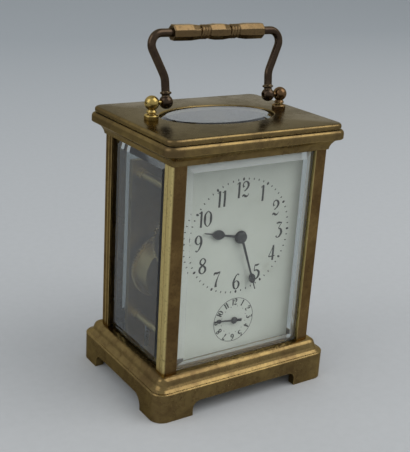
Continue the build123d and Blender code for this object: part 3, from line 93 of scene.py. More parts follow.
# Its top plate: thickness, and half sizes and chamfer of the oval opening
TOP_T = 1.3
OVAL_HALF = (24.8, 15.3)
OVAL_CHAMFER = 0.3

# Its corner radii and roundings: fillet under the bullnose, roundings of both tiers, neck between them
BULL_CORNER_R = 4.0
BULL_ROUND_R = 1.7
BULL_FILLET = 0.35
NECK_IN = 0.6
TIER_CORNER_R = 3.6
TIER_ROUND_R = 1.1

# Facets of a corner and of a side between two corners
CORNER_STEPS = 8
SIDE_STEPS = 12

# Axis of the grip, as (y, z), and the radius of its barrels
GRIP_AT = (3.47 * MM, 140.06 * MM)
GRIP_R = 3.15 * MM


# Camera

def add_camera():
    """Camera of the photograph: a long lens to the left of the clock, looking down by 20 degrees."""
    azimuth, elevation, roll = (math.radians(angle) for angle in CAMERA_TURN)
    back = Vector((math.sin(azimuth) * math.cos(elevation),
                   -math.cos(azimuth) * math.cos(elevation),
                   math.sin(elevation)))
    right = Vector((0, 0, 1)).cross(back).normalized()
    up = back.cross(right)
    turned_right = right * math.cos(roll) + up * math.sin(roll)
    turned_up = up * math.cos(roll) - right * math.sin(roll)
    data = bpy.data.cameras.new("camera")
    data.sensor_fit = "VERTICAL"
    data.sensor_height = SENSOR_HEIGHT
    data.lens = CAMERA_LENS
    data.clip_start = 0.01
    data.clip_end = 50.0
    camera = bpy.data.objects.new("camera", data)
    camera.matrix_world = Matrix((
        (turned_right.x, turned_up.x, back.x, CAMERA_AT[0]),
        (turned_right.y, turned_up.y, back.y, CAMERA_AT[1]),
        (turned_right.z, turned_up.z, back.z, CAMERA_AT[2]),
        (0, 0, 0, 1)))
    bpy.context.scene.collection.objects.link(camera)
    bpy.context.scene.camera = camera


# Materials

class Graph:
    """Short calls for the nodes of one material."""

    def __init__(self, name):
        self.material = bpy.data.materials.new(name)
        self.material.use_nodes = True
        self.tree = self.material.node_tree
        self.shader = self.tree.nodes["Principled BSDF"]
        self.place = self.tree.nodes.new("ShaderNodeTexCoord").outputs["Object"]

    def link(self, source, target):
        self.tree.links.new(source, target)

    def noise(self, scale, detail, rough, stretch=(1, 1, 1), shift=(0, 0, 0)):
        """Noise in the piece's own space, from 0 to 1."""
        node = self.tree.nodes.new("ShaderNodeTexNoise")
        node.inputs["Scale"].default_value = scale
        node.inputs["Detail"].default_value = detail
        node.inputs["Roughness"].default_value = rough
        mapping = self.tree.nodes.new("ShaderNodeMapping")
        mapping.inputs["Scale"].default_value = stretch
        mapping.inputs["Location"].default_value = shift
        self.link(self.place, mapping.inputs["Vector"])
        self.link(mapping.outputs["Vector"], node.inputs["Vector"])
        return node.outputs["Fac"]

    def ramp(self, factor, low, high, start, end):
        """Number that goes from low to high while factor goes from start to end."""
        node = self.tree.nodes.new("ShaderNodeMapRange")
        node.inputs["From Min"].default_value = start
        node.inputs["From Max"].default_value = end
        node.inputs["To Min"].default_value = low
        node.inputs["To Max"].default_value = high
        node.clamp = True
        self.link(factor, node.inputs["Value"])
        return node.outputs["Result"]

    def math(self, kind, first, second):
        """Result of one sum; either value may be a number or an output."""
        node = self.tree.nodes.new("ShaderNodeMath")
        node.operation = kind
        for index, value in enumerate((first, second)):
            if isinstance(value, (int, float)):
                node.inputs[index].default_value = value
            else:
                self.link(value, node.inputs[index])
        return node.outputs[0]

    def mix(self, factor, first, second):
        """Colour between two colours; either may be a tuple or an output."""
        node = self.tree.nodes.new("ShaderNodeMix")
        node.data_type = "RGBA"
        self.link(factor, node.inputs["Factor"])
        for socket, value in ((node.inputs[6], first), (node.inputs[7], second)):
            if isinstance(value, tuple):
                socket.default_value = (*value, 1.0)
            else:
                self.link(value, socket)
        return node.outputs[2]

    def bevel(self, radius):
        """How far the rounded normal agrees with the real one, 1 on a flat face, and the rounded normal."""
        bevel = self.tree.nodes.new("ShaderNodeBevel")
        bevel.samples = 6
        bevel.inputs["Radius"].default_value = radius
        geometry = self.tree.nodes.new("ShaderNodeNewGeometry")
        dot = self.tree.nodes.new("ShaderNodeVectorMath")
        dot.operation = "DOT_PRODUCT"
        self.link(bevel.outputs["Normal"], dot.inputs[0])
        self.link(geometry.outputs["Normal"], dot.inputs[1])
        return dot.outputs["Value"], bevel.outputs["Normal"]

    def edges(self, radius):
        """Output that is about 1 on sharp edges and 0 on faces, and the rounded normal."""
        agreement, soft_normal = self.bevel(radius)
        return self.ramp(agreement, 1.0, 0.0, 0.80, 0.995), soft_normal

    def facing(self, axis):
        """Component of the surface's own normal along an axis: 0, 1 or 2."""
        coords = self.tree.nodes.new("ShaderNodeTexCoord")
        split = self.tree.nodes.new("ShaderNodeSeparateXYZ")
        self.link(coords.outputs["Normal"], split.inputs[0])
        return split.outputs[axis]

    def height(self, axis):
        """Place along an axis, 0, 1 or 2, in metres."""
        split = self.tree.nodes.new("ShaderNodeSeparateXYZ")
        self.link(self.place, split.inputs[0])
        return split.outputs[axis]

    def bump(self, height, strength, distance, normal=None):
        node = self.tree.nodes.new("ShaderNodeBump")
        node.inputs["Strength"].default_value = strength
        node.inputs["Distance"].default_value = distance
        self.link(height, node.inputs["Height"])
        if normal is not None:
            self.link(normal, node.inputs["Normal"])
        self.link(node.outputs["Normal"], self.shader.inputs["Normal"])

    def surface(self, color, rough, metallic, **numbers):
        """Sets the shader's colour, roughness and other inputs, and returns the material."""
        for socket, value in (("Base Color", color), ("Roughness", rough)):
            if isinstance(value, tuple):
                self.shader.inputs[socket].default_value = (*value, 1.0)
            elif isinstance(value, (int, float)):
                self.shader.inputs[socket].default_value = value
            else:
                self.link(value, self.shader.inputs[socket])
        self.shader.inputs["Metallic"].default_value = metallic
        for name, value in numbers.items():
            self.shader.inputs[name.replace("_", " ")].default_value = value
        return self.material


def aged_brass(name, bright, mid, dark, patina, rough, seed=0.0, tint=None):
    """Old brass: bright on its edges, partly where it is handled and partly as a painted highlight; brown
    in the fields, with specks and fine scratches.

    tint, if given, is a function of the graph and the colour that returns the colour with its own patina,
    wear or painted reflection.
    """
    graph = Graph(name)
    clouds = graph.noise(38.0, 4.0, 0.6, shift=(seed, 0.3, 0.1))
    spots = graph.noise(310.0, 3.0, 0.65, shift=(0.2, seed, 0.4))
    grit = graph.noise(1100.0, 3.0, 0.6, shift=(seed, 0.1, 0.6))
    fine = graph.noise(2600.0, 2.0, 0.5)
    brush = graph.noise(900.0, 2.0, 0.5, stretch=(0.06, 0.06, 1.0))
    patches = graph.math("ADD", clouds, graph.math("MULTIPLY", graph.math("SUBTRACT", spots, 0.5), 0.5))
    tone = graph.ramp(patches, 0.0, 1.0, 0.5 - patina * 0.5, 0.78 - patina * 0.35)
    color = graph.mix(tone, mid, dark)
    if tint is not None:
        color = tint(graph, color)
    color = graph.mix(graph.ramp(spots, 0.0, 0.55, 0.62, 0.74), color, dark)
    color = graph.mix(graph.ramp(grit, 0.0, 0.45, 0.56, 0.70), color, tuple(c * 0.5 for c in dark))
    # Bright edges: partly wear, partly a painted highlight along the arrises
    edge, soft_normal = graph.edges(0.45 * MM)
    worn_and_painted_highlight = graph.math("MULTIPLY", edge, graph.ramp(clouds, 1.0, 0.45, 0.45, 0.7))
    color = graph.mix(worn_and_painted_highlight, color, bright)
    roughness = graph.ramp(patches, rough[0], rough[1], 0.35, 0.7)
    grain = graph.math("MULTIPLY", graph.math("SUBTRACT", fine, 0.5), 0.12)
    roughness = graph.math("ADD", roughness, grain)
    graph.bump(graph.math("ADD", graph.math("MULTIPLY", spots, 0.5), graph.math("MULTIPLY", brush, 0.25)),
               0.12, 0.00006, soft_normal)
    graph.shader.inputs["Specular Tint"].default_value = (0.74, 0.66, 0.52, 1.0)
    return graph.surface(color, roughness, metallic=1.0)


def dusty_top(graph, color):
    """Olive film of dust on faces that look up."""
    up = graph.ramp(graph.facing(2), 0.0, 0.85, 0.80, 0.99)
    return graph.mix(up, color, (0.075, 0.067, 0.050))


def dark_right_post(graph, color):
    """The right post is coloured a darker brown."""
    right = graph.ramp(graph.height(0), 0.0, 1.0, 0.0, 10.0 * MM)
    return graph.mix(right, color, (0.130, 0.075, 0.038))


def upright_grip(graph, color):
    """The grip is rubbed to a golden brown between the dark legs."""
    foot, half_length = 135.5 * MM, 20.0 * MM
    across = graph.math("ABSOLUTE", graph.height(0), 0.0)
    high = graph.ramp(graph.height(2), 0.0, 1.0, foot, foot + 1.0 * MM)
    middle = graph.ramp(across, 1.0, 0.0, half_length, half_length + 0.5 * MM)
    return graph.mix(graph.math("MULTIPLY", high, middle), color, (0.150, 0.098, 0.046))


def front_corner_polish(graph, color):
    """Left faces near the front are painted bright gold as a reflection of bright surroundings; front faces
    are brown.
    """
    left = graph.ramp(graph.facing(0), 1.0, 0.0, -0.80, -0.45)
    front = graph.ramp(graph.height(1), 1.0, 0.0, -18.0 * MM, -10.0 * MM)
    # Painted reflection: bright gold on the left-facing faces near the front
    return graph.mix(graph.math("MULTIPLY", left, front), color, (0.62, 0.50, 0.215))


def plain_metal(name, light, dark, rough, scale=1400.0, stretch=(1, 1, 1)):
    """Machined metal with a fine grain, a little tarnish and edges lightened as a painted highlight."""
    graph = Graph(name)
    grain = graph.noise(scale, 2.0, 0.5, stretch=stretch)
    clouds = graph.noise(70.0, 3.0, 0.6)
    color = graph.mix(graph.ramp(clouds, 0.0, 1.0, 0.35, 0.72), light, dark)
    edge, soft_normal = graph.edges(0.2 * MM)
    # Painted highlight: edges are mixed towards the light tone
    color = graph.mix(graph.math("MULTIPLY", edge, 0.6), color, light)
    roughness = graph.ramp(grain, rough - 0.06, rough + 0.08, 0.3, 0.7)
    graph.bump(grain, 0.10, 0.00002, soft_normal)
    return graph.surface(color, roughness, metallic=1.0)


def old_glass(name, tint, film, bevels=None):
    """Plate glass with a thin uneven film of dust; bevels adds painted reflections on its bevelled faces.
    """
    graph = Graph(name)
    smear = graph.noise(55.0, 4.0, 0.6, stretch=(1, 1, 0.4))
    specks = graph.noise(900.0, 2.0, 0.5)
    dust_film_and_painted_sheen = graph.math("ADD", graph.ramp(smear, 0.0, film, 0.42, 0.72),
                      graph.ramp(specks, 0.0, 0.10, 0.66, 0.74))
    graph.surface(tint, graph.ramp(dust_film_and_painted_sheen, 0.0, 0.10, 0.0, 0.5), metallic=0.0,
                  Transmission_Weight=1.0, IOR=1.5)
    if bevels is not None:
        bevels(graph, tint)
    graph.bump(graph.noise(26.0, 1.0, 0.4), 0.05, 0.0002)
    return graph.material


def front_bevels(graph, tint):
    """Painted reflections on the bevels: pale on the top and left bevels, grey on the others, and a painted
    highlight along their inner edges.
    """
    flat = graph.ramp(graph.math("ABSOLUTE", graph.facing(1), 0.0), 1.0, 0.0, 0.930, 0.985)
    top = graph.ramp(graph.facing(2), 0.0, 1.0, 0.20, 0.35)
    bottom = graph.ramp(graph.facing(2), 1.0, 0.0, -0.35, -0.20)
    right = graph.ramp(graph.facing(0), 0.0, 1.0, 0.20, 0.35)
    # Painted reflection on the bevels, strongest on the top, right and bottom ones
    dust_film_and_painted_sheen = graph.math("ADD", 0.10, graph.math("MULTIPLY", top, 0.22))
    dust_film_and_painted_sheen = graph.math("ADD", dust_film_and_painted_sheen, graph.math("MULTIPLY", right, 0.16))
    dust_film_and_painted_sheen = graph.math("ADD", dust_film_and_painted_sheen, graph.math("MULTIPLY", bottom, 0.20))
    agreement, _ = graph.bevel(0.35 * MM)
    # Painted highlight: a pale line along the inner edges of the bevels
    line = graph.ramp(agreement, 0.45, 0.0, 0.975, 0.995)
    dust_film_and_painted_sheen = graph.math("MAXIMUM", graph.math("MULTIPLY", dust_film_and_painted_sheen, flat), line)
    graph.link(graph.math("SUBTRACT", 1.0, dust_film_and_painted_sheen), graph.shader.inputs["Transmission Weight"])
    shade = graph.mix(bottom, (0.70, 0.72, 0.70), (0.30, 0.31, 0.28))
    shade = graph.mix(right, shade, (0.42, 0.44, 0.41))
    graph.link(graph.mix(dust_film_and_painted_sheen, tint, shade), graph.shader.inputs["Base Color"])


def dial_paint():
    """Pale satin dial with faint stains, slightly darker towards its left and right edges."""
    graph = Graph("dial_paint")
    clouds = graph.noise(45.0, 4.0, 0.6)
    specks = graph.noise(1500.0, 2.0, 0.6)
    stains = graph.noise(130.0, 3.0, 0.6, shift=(0.7, 0.1, 0.2))
    color = graph.mix(graph.ramp(clouds, 0.0, 1.0, 0.35, 0.7), (0.70, 0.725, 0.665), (0.63, 0.655, 0.595))
    color = graph.mix(graph.ramp(stains, 0.0, 0.30, 0.60, 0.78), color, (0.46, 0.46, 0.38))
    color = graph.mix(graph.ramp(specks, 0.0, 0.35, 0.66, 0.76), color, (0.38, 0.38, 0.33))
    across = graph.math("ABSOLUTE", graph.height(0), 0.0)
    edge = graph.ramp(across, 0.0, 0.35, 23.5 * MM, 28.0 * MM)
    color = graph.mix(edge, color, (0.42, 0.43, 0.38))
    graph.bump(specks, 0.05, 0.00001)
    return graph.surface(color, 0.42, metallic=0.0, Specular_IOR_Level=0.35)


def ink(name, shade, rough):
    """Black print or blacking, a little worn."""
    graph = Graph(name)
    wear = graph.noise(1800.0, 3.0, 0.6)
    color = graph.mix(graph.ramp(wear, 0.0, 0.7, 0.52, 0.72), shade, tuple(c + 0.10 for c in shade))
    graph.bump(wear, 0.08, 0.00001)
    return graph.surface(color, rough, metallic=0.0)


def floor_paper():
    """Seamless pale paper, with a painted falloff of light that makes it a little darker towards the back.
    """
    graph = Graph("floor_paper")
    grain = graph.noise(260.0, 3.0, 0.6)
    near = (0.470, 0.478, 0.484)
    far = (0.350, 0.374, 0.394)
    # Painted shade: the paper darkens towards the back as the light would fall off
    painted_falloff = graph.ramp(graph.height(1), 0.0, 1.0, 0.02, 0.90)
    color = graph.mix(painted_falloff, near, far)
    color = graph.mix(graph.ramp(grain, 0.0, 0.06, 0.35, 0.65), color, (0.25, 0.25, 0.25))
    graph.bump(grain, 0.04, 0.0001)
    return graph.surface(color, 0.75, metallic=0.0, Specular_IOR_Level=0.2)


def make_materials():
    """Every material of the clock, by the name of its look."""
    return {
        "case": aged_brass("case_brass_aged", (0.52, 0.38, 0.15), (0.255, 0.180, 0.070),
                           (0.130, 0.085, 0.036), 0.40, rough=(0.17, 0.36)),
        "cornice": aged_brass("cornice_brass_aged", (0.56, 0.41, 0.16), (0.230, 0.160, 0.062),
                              (0.125, 0.085, 0.038), 0.42, rough=(0.17, 0.36), seed=0.37, tint=dusty_top),
        # Pillars also carry a painted reflection on their left faces near the front
        "pillar": aged_brass("pillar_brass_aged_painted_reflection", (0.60, 0.45, 0.19), (0.220, 0.140, 0.052),
                             (0.120, 0.072, 0.029), 0.50, rough=(0.28, 0.5), seed=0.81,
                             tint=front_corner_polish),
        "knob": aged_brass("post_brass_bright", (0.70, 0.53, 0.20), (0.52, 0.38, 0.12),
                           (0.26, 0.18, 0.06), 0.2, rough=(0.14, 0.26), seed=0.53, tint=dark_right_post),
        "handle": aged_brass("handle_bronze_dull", (0.27, 0.20, 0.11), (0.105, 0.072, 0.043),
                             (0.050, 0.034, 0.024), 0.45, rough=(0.16, 0.30), seed=0.19, tint=upright_grip),
        "movement": plain_metal("movement_brass_satin", (0.62, 0.48, 0.22), (0.42, 0.32, 0.15), 0.34),
        "steel": plain_metal("steel_polished", (0.56, 0.57, 0.58), (0.33, 0.33, 0.33), 0.28),
        "blue": plain_metal("steel_blued", (0.10, 0.14, 0.30), (0.06, 0.06, 0.12), 0.30),
        "bell": plain_metal("bell_metal_turned", (0.56, 0.48, 0.30), (0.38, 0.31, 0.18), 0.25,
                            scale=500.0, stretch=(1, 1, 12)),
        # Front glass: clear, with painted reflections and highlights on its bevels
        "front_glass": old_glass("plate_glass_front_painted_bevel_sheen", (0.97, 0.99, 0.97), 0.20, front_bevels),
        # Painted shade: the grey tints of the top, rear and side glass darken the inside of the case seen
        # through them
        "glass": old_glass("plate_glass_old_painted_shade", (0.42, 0.45, 0.45), 0.25),
        "side_glass": old_glass("plate_glass_side_painted_shade", (0.60, 0.65, 0.66), 0.35),
        "dial": dial_paint(),
        "ink": ink("dial_ink", (0.022, 0.022, 0.020), 0.5),
        "hands": ink("hand_black", (0.016, 0.016, 0.018), 0.32),
    }


# Solids that have each look
NODE_LOOKS = {
    "case": ("base_plinth", "rear_door_frame"),
    "cornice": ("cornice",),
    "pillar": ("corner_pillars",),
    "knob": ("door_knob", "handle_posts", "handle_pivot_screws"),
    "handle": ("handle",),
    "movement": ("base_floor", "top_glass_retainer", "front_plate", "back_plate", "movement_pillars",
                 "going_barrel", "barrel_cover", "intermediate_wheel", "centre_wheel", "third_wheel",
                 "contrate_wheel", "platform_plate", "escape_cock", "balance_wheel", "balance_cock",
                 "cannon_pinion", "minute_wheel", "hour_wheel", "alarm_idler", "alarm_wheel",
                 "alarm_barrel", "alarm_escape_wheel"),
    "steel": ("base_screws", "retainer_screws", "door_hinge_pins", "plate_screws", "seat_screws",
              "barrel_arbor", "ratchet_wheel", "click", "click_springs", "escape_wheel",
              "pallet_lever", "regulator_index", "platform_screws", "setting_arbor",
              "alarm_setting_arbor", "alarm_barrel_arbor", "alarm_click", "alarm_hammer", "bell_screw"),
    "blue": ("mainspring", "balance_spring"),
    "bell": ("bell",),
    "front_glass": ("front_glass",),
    "glass": ("top_glass", "rear_door_glass"),
    "side_glass": ("side_glasses",),
    "dial": ("dial_plate",),
    "hands": ("hour_hand", "minute_hand", "alarm_hand"),
}


def dress_nodes(looks):
    """Gives every solid its material; glass casts no shadow."""
    for look, names in NODE_LOOKS.items():
        for name in names:
            piece = NODES[name]
            piece.data.materials.clear()
            piece.data.materials.append(looks[look])
    for name in NODE_LOOKS["front_glass"] + NODE_LOOKS["glass"] + NODE_LOOKS["side_glass"]:
        NODES[name].visible_shadow = False


# Pieces

def add_mesh(name, bm, material, body, smooth=None):
    """Object from a bmesh that rides on a body; smooth is the angle that still shades as one surface."""
    mesh = bpy.data.meshes.new(name)
    bm.to_mesh(mesh)
    bm.free()
    piece = bpy.data.objects.new(name, mesh)
    bpy.context.scene.collection.objects.link(piece)
    mesh.materials.append(material)
    if smooth is not None:
        mesh.polygons.foreach_set("use_smooth", [True] * len(mesh.polygons))
        mesh.set_sharp_from_angle(angle=math.radians(smooth))
    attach(piece, body)
    return piece


def plate_ring(bm, outline, y_front, y_back):
    """Closed flat plate from an outline of (x, z) points, between two depths."""
    front = [bm.verts.new((x, y_front, z)) for x, z in outline]
    back = [bm.verts.new((x, y_back, z)) for x, z in outline]
    bm.faces.new(front)
    bm.faces.new(list(reversed(back)))
    count = len(outline)
    for index in range(count):
        following = (index + 1) % count
        bm.faces.new((front[following], front[index], back[index], back[following]))


def join_rings(bm, rings, closed=False):
    """Quads between each ring of vertices and the next one; closed joins the last ring to the first."""
    count = len(rings[0])
    last = rings[:1] if closed else []
    for first, second in zip(rings, rings[1:] + last):
        for index in range(count):
            following = (index + 1) % count
            bm.faces.new((first[index], first[following], second[following], second[index]))


def smooth_line(points, steps):
    """Points of a smooth curve through the given (x, z, width) points."""
    result = []
    last = len(points) - 1
    for index in range(last):
        p0 = points[max(index - 1, 0)]
        p1 = points[index]
        p2 = points[index + 1]
        p3 = points[min(index + 2, last)]
        for step in range(steps):
            t = step / steps
            result.append(tuple(
                0.5 * (2 * b + (c - a) * t + (2 * a - 5 * b + 4 * c - d) * t ** 2
                       + (3 * b - a - 3 * c + d) * t ** 3)
                for a, b, c, d in zip(p0, p1, p2, p3)))
    result.append(points[last])
    return result


def stroke_outline(points, steps):
    """Outline of a pen stroke whose width changes along it."""
    line = smooth_line(points, steps) if len(points) > 2 else points
    left, right = [], []
    for index, (x, z, width) in enumerate(line):
        before = line[max(index - 1, 0)]
        after = line[min(index + 1, len(line) - 1)]
        dx, dz = after[0] - before[0], after[1] - before[1]
        length = math.hypot(dx, dz) or 1.0
        nx, nz = -dz / length * width / 2, dx / length * width / 2
        left.append((x + nx, z + nz))
        right.append((x - nx, z - nz))
    return left + right[::-1]


# Each figure in a cell one unit high: the cell's width, and strokes as (x, z, width) from the cell's foot
FIGURES = {
    "0": (0.50, [[(0.25, 1.0, 0.045), (0.06, 0.80, 0.10), (0.03, 0.5, 0.15), (0.06, 0.20, 0.10),
                  (0.25, 0.0, 0.045), (0.44, 0.20, 0.10), (0.47, 0.5, 0.15), (0.44, 0.80, 0.10),
                  (0.25, 1.0, 0.045)]]),
    "1": (0.24, [[(0.13, 1.02, 0.13), (0.14, 0.5, 0.13), (0.13, -0.02, 0.13)],
                 [(-0.04, 0.90, 0.05), (0.06, 0.95, 0.05), (0.13, 1.03, 0.06)]]),
    "2": (0.50, [[(0.12, 0.66, 0.13), (0.05, 0.78, 0.07), (0.10, 0.95, 0.06), (0.27, 1.02, 0.07),
                  (0.44, 0.86, 0.14), (0.42, 0.64, 0.12), (0.26, 0.46, 0.07), (0.16, 0.40, 0.05),
                  (0.28, 0.44, 0.05)],
                 [(0.02, 0.06, 0.05), (0.14, 0.13, 0.12), (0.30, 0.04, 0.12), (0.46, 0.08, 0.05),
                  (0.50, 0.20, 0.04)]]),
    "3": (0.46, [[(0.02, 0.96, 0.07), (0.20, 1.00, 0.10), (0.44, 0.97, 0.06)],
                 [(0.44, 0.97, 0.04), (0.30, 0.78, 0.04), (0.20, 0.60, 0.05)],
                 [(0.20, 0.60, 0.05), (0.38, 0.52, 0.12), (0.45, 0.28, 0.15), (0.32, 0.04, 0.10),
                  (0.14, -0.02, 0.05), (0.04, 0.10, 0.11)]]),
    "4": (0.50, [[(0.36, 1.02, 0.05), (0.20, 0.64, 0.04), (0.02, 0.27, 0.05)],
                 [(0.01, 0.26, 0.06), (0.25, 0.26, 0.07), (0.52, 0.27, 0.06)],
                 [(0.36, 1.02, 0.12), (0.36, 0.5, 0.13), (0.35, -0.02, 0.13)]]),
    "5": (0.46, [[(0.08, 1.0, 0.07), (0.24, 0.97, 0.11), (0.42, 1.02, 0.06)],
                 [(0.09, 1.0, 0.05), (0.07, 0.8, 0.05), (0.06, 0.58, 0.05)],
                 [(0.06, 0.58, 0.05), (0.24, 0.63, 0.08), (0.43, 0.46, 0.14), (0.42, 0.18, 0.14),
                  (0.24, -0.01, 0.07), (0.10, 0.02, 0.06), (0.06, 0.12, 0.11)]]),
    "6": (0.50, [[(0.42, 0.93, 0.09), (0.32, 1.02, 0.05), (0.16, 0.84, 0.08), (0.04, 0.50, 0.14),
                  (0.08, 0.14, 0.12), (0.26, -0.02, 0.05), (0.43, 0.14, 0.12), (0.44, 0.38, 0.12),
                  (0.28, 0.56, 0.05), (0.12, 0.46, 0.05), (0.07, 0.34, 0.05)]]),
    "7": (0.48, [[(0.02, 0.84, 0.06), (0.06, 0.97, 0.10), (0.26, 0.95, 0.12), (0.48, 1.02, 0.05)],
                 [(0.48, 1.0, 0.04), (0.30, 0.62, 0.06), (0.20, 0.26, 0.12), (0.20, 0.0, 0.16)]]),
    "8": (0.50, [[(0.26, 0.54, 0.09), (0.08, 0.68, 0.11), (0.08, 0.88, 0.09), (0.26, 1.01, 0.05),
                  (0.42, 0.88, 0.09), (0.41, 0.70, 0.09), (0.26, 0.54, 0.10), (0.07, 0.38, 0.12),
                  (0.05, 0.14, 0.12), (0.25, -0.02, 0.05), (0.45, 0.14, 0.12), (0.44, 0.36, 0.12),
                  (0.26, 0.54, 0.09)]]),
    "9": (0.50, [[(0.08, 0.07, 0.09), (0.18, -0.02, 0.05), (0.34, 0.16, 0.08), (0.46, 0.50, 0.14),
                  (0.42, 0.86, 0.12), (0.24, 1.02, 0.05), (0.07, 0.86, 0.12), (0.06, 0.62, 0.12),
                  (0.22, 0.44, 0.05), (0.38, 0.54, 0.05), (0.43, 0.66, 0.05)]]),
}


def figure_outlines(text, height, turn, place, steps, bold):
    """Outlines of a number, centred on place and turned clockwise by turn degrees."""
    gap = 0.13
    total = sum(FIGURES[letter][0] for letter in text) + gap * (len(text) - 1)
    x = -total / 2
    angle = -math.radians(turn)
    result = []
    for letter in text:
        cell, strokes = FIGURES[letter]
        for stroke in strokes:
            outline = stroke_outline([(sx, sz, width * bold) for sx, sz, width in stroke], steps)
            placed = []
            for px, pz in outline:
                u, v = (px + x) * height, (pz - 0.5) * height
                placed.append((place[0] + u * math.cos(angle) - v * math.sin(angle),
                               place[1] + u * math.sin(angle) + v * math.cos(angle)))
            result.append(placed)
        x += cell + gap
    return result


def round_the_dial(centre, radius, degrees):
    """Place on a dial, counted clockwise from twelve."""
    angle = math.radians(degrees)
    return (centre[0] + radius * math.sin(angle), centre[1] + radius * math.cos(angle))


def strip_faces(bm, outline, y_front):
    """Flat ribbon from a stroke's outline; its two sides are paired point by point."""
    half = len(outline) // 2
    left = outline[:half]
    right = outline[half:][::-1]
    rows = []
    for (lx, lz), (rx, rz) in zip(left, right):
        rows.append([bm.verts.new((lx, y_front, lz)), bm.verts.new((rx, y_front, rz)),
                     bm.verts.new((rx, INK_BACK_Y, rz)), bm.verts.new((lx, INK_BACK_Y, lz))])
    join_rings(bm, rows)
    bm.faces.new(rows[0][::-1])
    bm.faces.new(rows[-1])


def print_numbers(name, places, height, steps, bold, looks):
    """Raised figures on the dial; places holds (text, place, turn)."""
    bm = bmesh.new()
    for text, place, turn in places:
        for layer, outline in enumerate(figure_outlines(text, height, turn, place, steps, bold)):
            strip_faces(bm, outline, INK_Y - layer * STROKE_LIFT)
    bmesh.ops.recalc_face_normals(bm, faces=bm.faces)
    return add_mesh(name, bm, looks["ink"], "case")


def print_dots(name, marks, looks, sides=10):
    """Raised marks on the dial; each is (place, (half width, half length), turn)."""
    bm = bmesh.new()
    for (x, z), (half_w, half_l), turn in marks:
        angle = -math.radians(turn)
        outline = []
        for step in range(sides):
            spin = 2 * math.pi * step / sides
            u, v = half_w * math.cos(spin), half_l * math.sin(spin)
            outline.append((x + u * math.cos(angle) - v * math.sin(angle),
                            z + u * math.sin(angle) + v * math.cos(angle)))
        plate_ring(bm, outline, INK_Y, INK_BACK_Y)
    bmesh.ops.recalc_face_normals(bm, faces=bm.faces)
    return add_mesh(name, bm, looks["ink"], "case")


def print_circle(name, centre, radius, width, looks, count=72):
    """Thin printed circle."""
    bm = bmesh.new()
    inner, outer = radius - width / 2, radius + width / 2
    rows = []
    for index in range(count):
        angle = 2 * math.pi * index / count
        ring = []
        for r, y in ((inner, INK_Y), (outer, INK_Y), (outer, INK_BACK_Y), (inner, INK_BACK_Y)):
            x, z = centre[0] + r * math.cos(angle), centre[1] + r * math.sin(angle)
            ring.append(bm.verts.new((x, y, z)))
        rows.append(ring)
    join_rings(bm, rows, closed=True)
    bmesh.ops.recalc_face_normals(bm, faces=bm.faces)
    return add_mesh(name, bm, looks["ink"], "case")


def dress_dial(looks):
    """Upright hour figures with a ring of marks, and the alarm dial with figures that follow its circle."""
    hours = [(str(hour), round_the_dial(HOUR_AT, HOUR_FIGURES_R, 30 * hour), 0) for hour in range(1, 13)]
    print_numbers("dial_hour_numbers", hours, HOUR_FIGURES_HEIGHT, steps=7, bold=1.15, looks=looks)
    marks = []
    for minute in range(60):
        mark = HOUR_MARK if minute % 5 == 0 else MINUTE_MARK
        marks.append((round_the_dial(HOUR_AT, MINUTE_MARKS_R, 6 * minute), mark, 6 * minute))
    print_dots("dial_minute_marks", marks, looks)
    small = [(str(hour), round_the_dial(ALARM_AT, ALARM_FIGURES_R, 30 * hour), 30 * hour)
             for hour in range(1, 13)]
    print_numbers("dial_alarm_numbers", small, ALARM_FIGURES_HEIGHT, steps=5, bold=1.7, looks=looks)
    dots = [(round_the_dial(ALARM_AT, ALARM_DOTS_R, 30 * hour + 15), ALARM_DOT, 0) for hour in range(12)]
    print_dots("dial_alarm_dots", dots, looks)
    print_circle("dial_alarm_circle", ALARM_AT, ALARM_CIRCLE_R, ALARM_CIRCLE_WIDTH, looks)


def turned_piece(name, profile, centre, axis, material, body, count=40, smooth=40):
    """Lathe-turned piece; profile is a list of (radius, distance along the axis)."""
    bm = bmesh.new()
    axis = Vector(axis).normalized()
    side = axis.orthogonal().normalized()
    other = axis.cross(side)
    centre = Vector(centre)
    rings = []
    for radius, along in profile:
        if radius < 1e-6:
            rings.append([bm.verts.new(centre + axis * along)])
            continue
        ring = []
        for index in range(count):
            angle = 2 * math.pi * index / count
            ring.append(bm.verts.new(centre + axis * along
                                     + side * radius * math.cos(angle) + other * radius * math.sin(angle)))
        rings.append(ring)
    for first, second in zip(rings, rings[1:]):
        for index in range(count):
            following = (index + 1) % count
            if len(first) == 1:
                bm.faces.new((first[0], second[index], second[following]))
            elif len(second) == 1:
                bm.faces.new((first[index], second[0], first[following]))
            else:
                bm.faces.new((first[index], second[index], second[following], first[following]))
    bmesh.ops.recalc_face_normals(bm, faces=bm.faces)
    return add_mesh(name, bm, material, body, smooth)


def dress_hands(looks):
    """Domed collets in the middle of the hands."""
    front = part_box("minute_hand")[0].y
    dome = [(0.0, 0.62), (0.7, 0.58), (1.4, 0.46), (2.0, 0.26), (2.25, 0.05), (2.25, -0.05), (0.0, -0.05)]
    turned_piece("minute_hand_collet", [(r * MM, a * MM) for r, a in dome],
                 (HOUR_AT[0], front, HOUR_AT[1]), (0, -1, 0), looks["hands"], "minute_hand")
    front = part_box("alarm_hand")[0].y
    small = [(0.0, 0.5), (0.5, 0.45), (0.95, 0.28), (1.15, 0.05), (1.15, -0.05), (0.0, -0.05)]
    turned_piece("alarm_hand_collet", [(r * MM, a * MM) for r, a in small],
                 (ALARM_AT[0], front, ALARM_AT[1]), (0, -1, 0), looks["hands"], "alarm_hand")


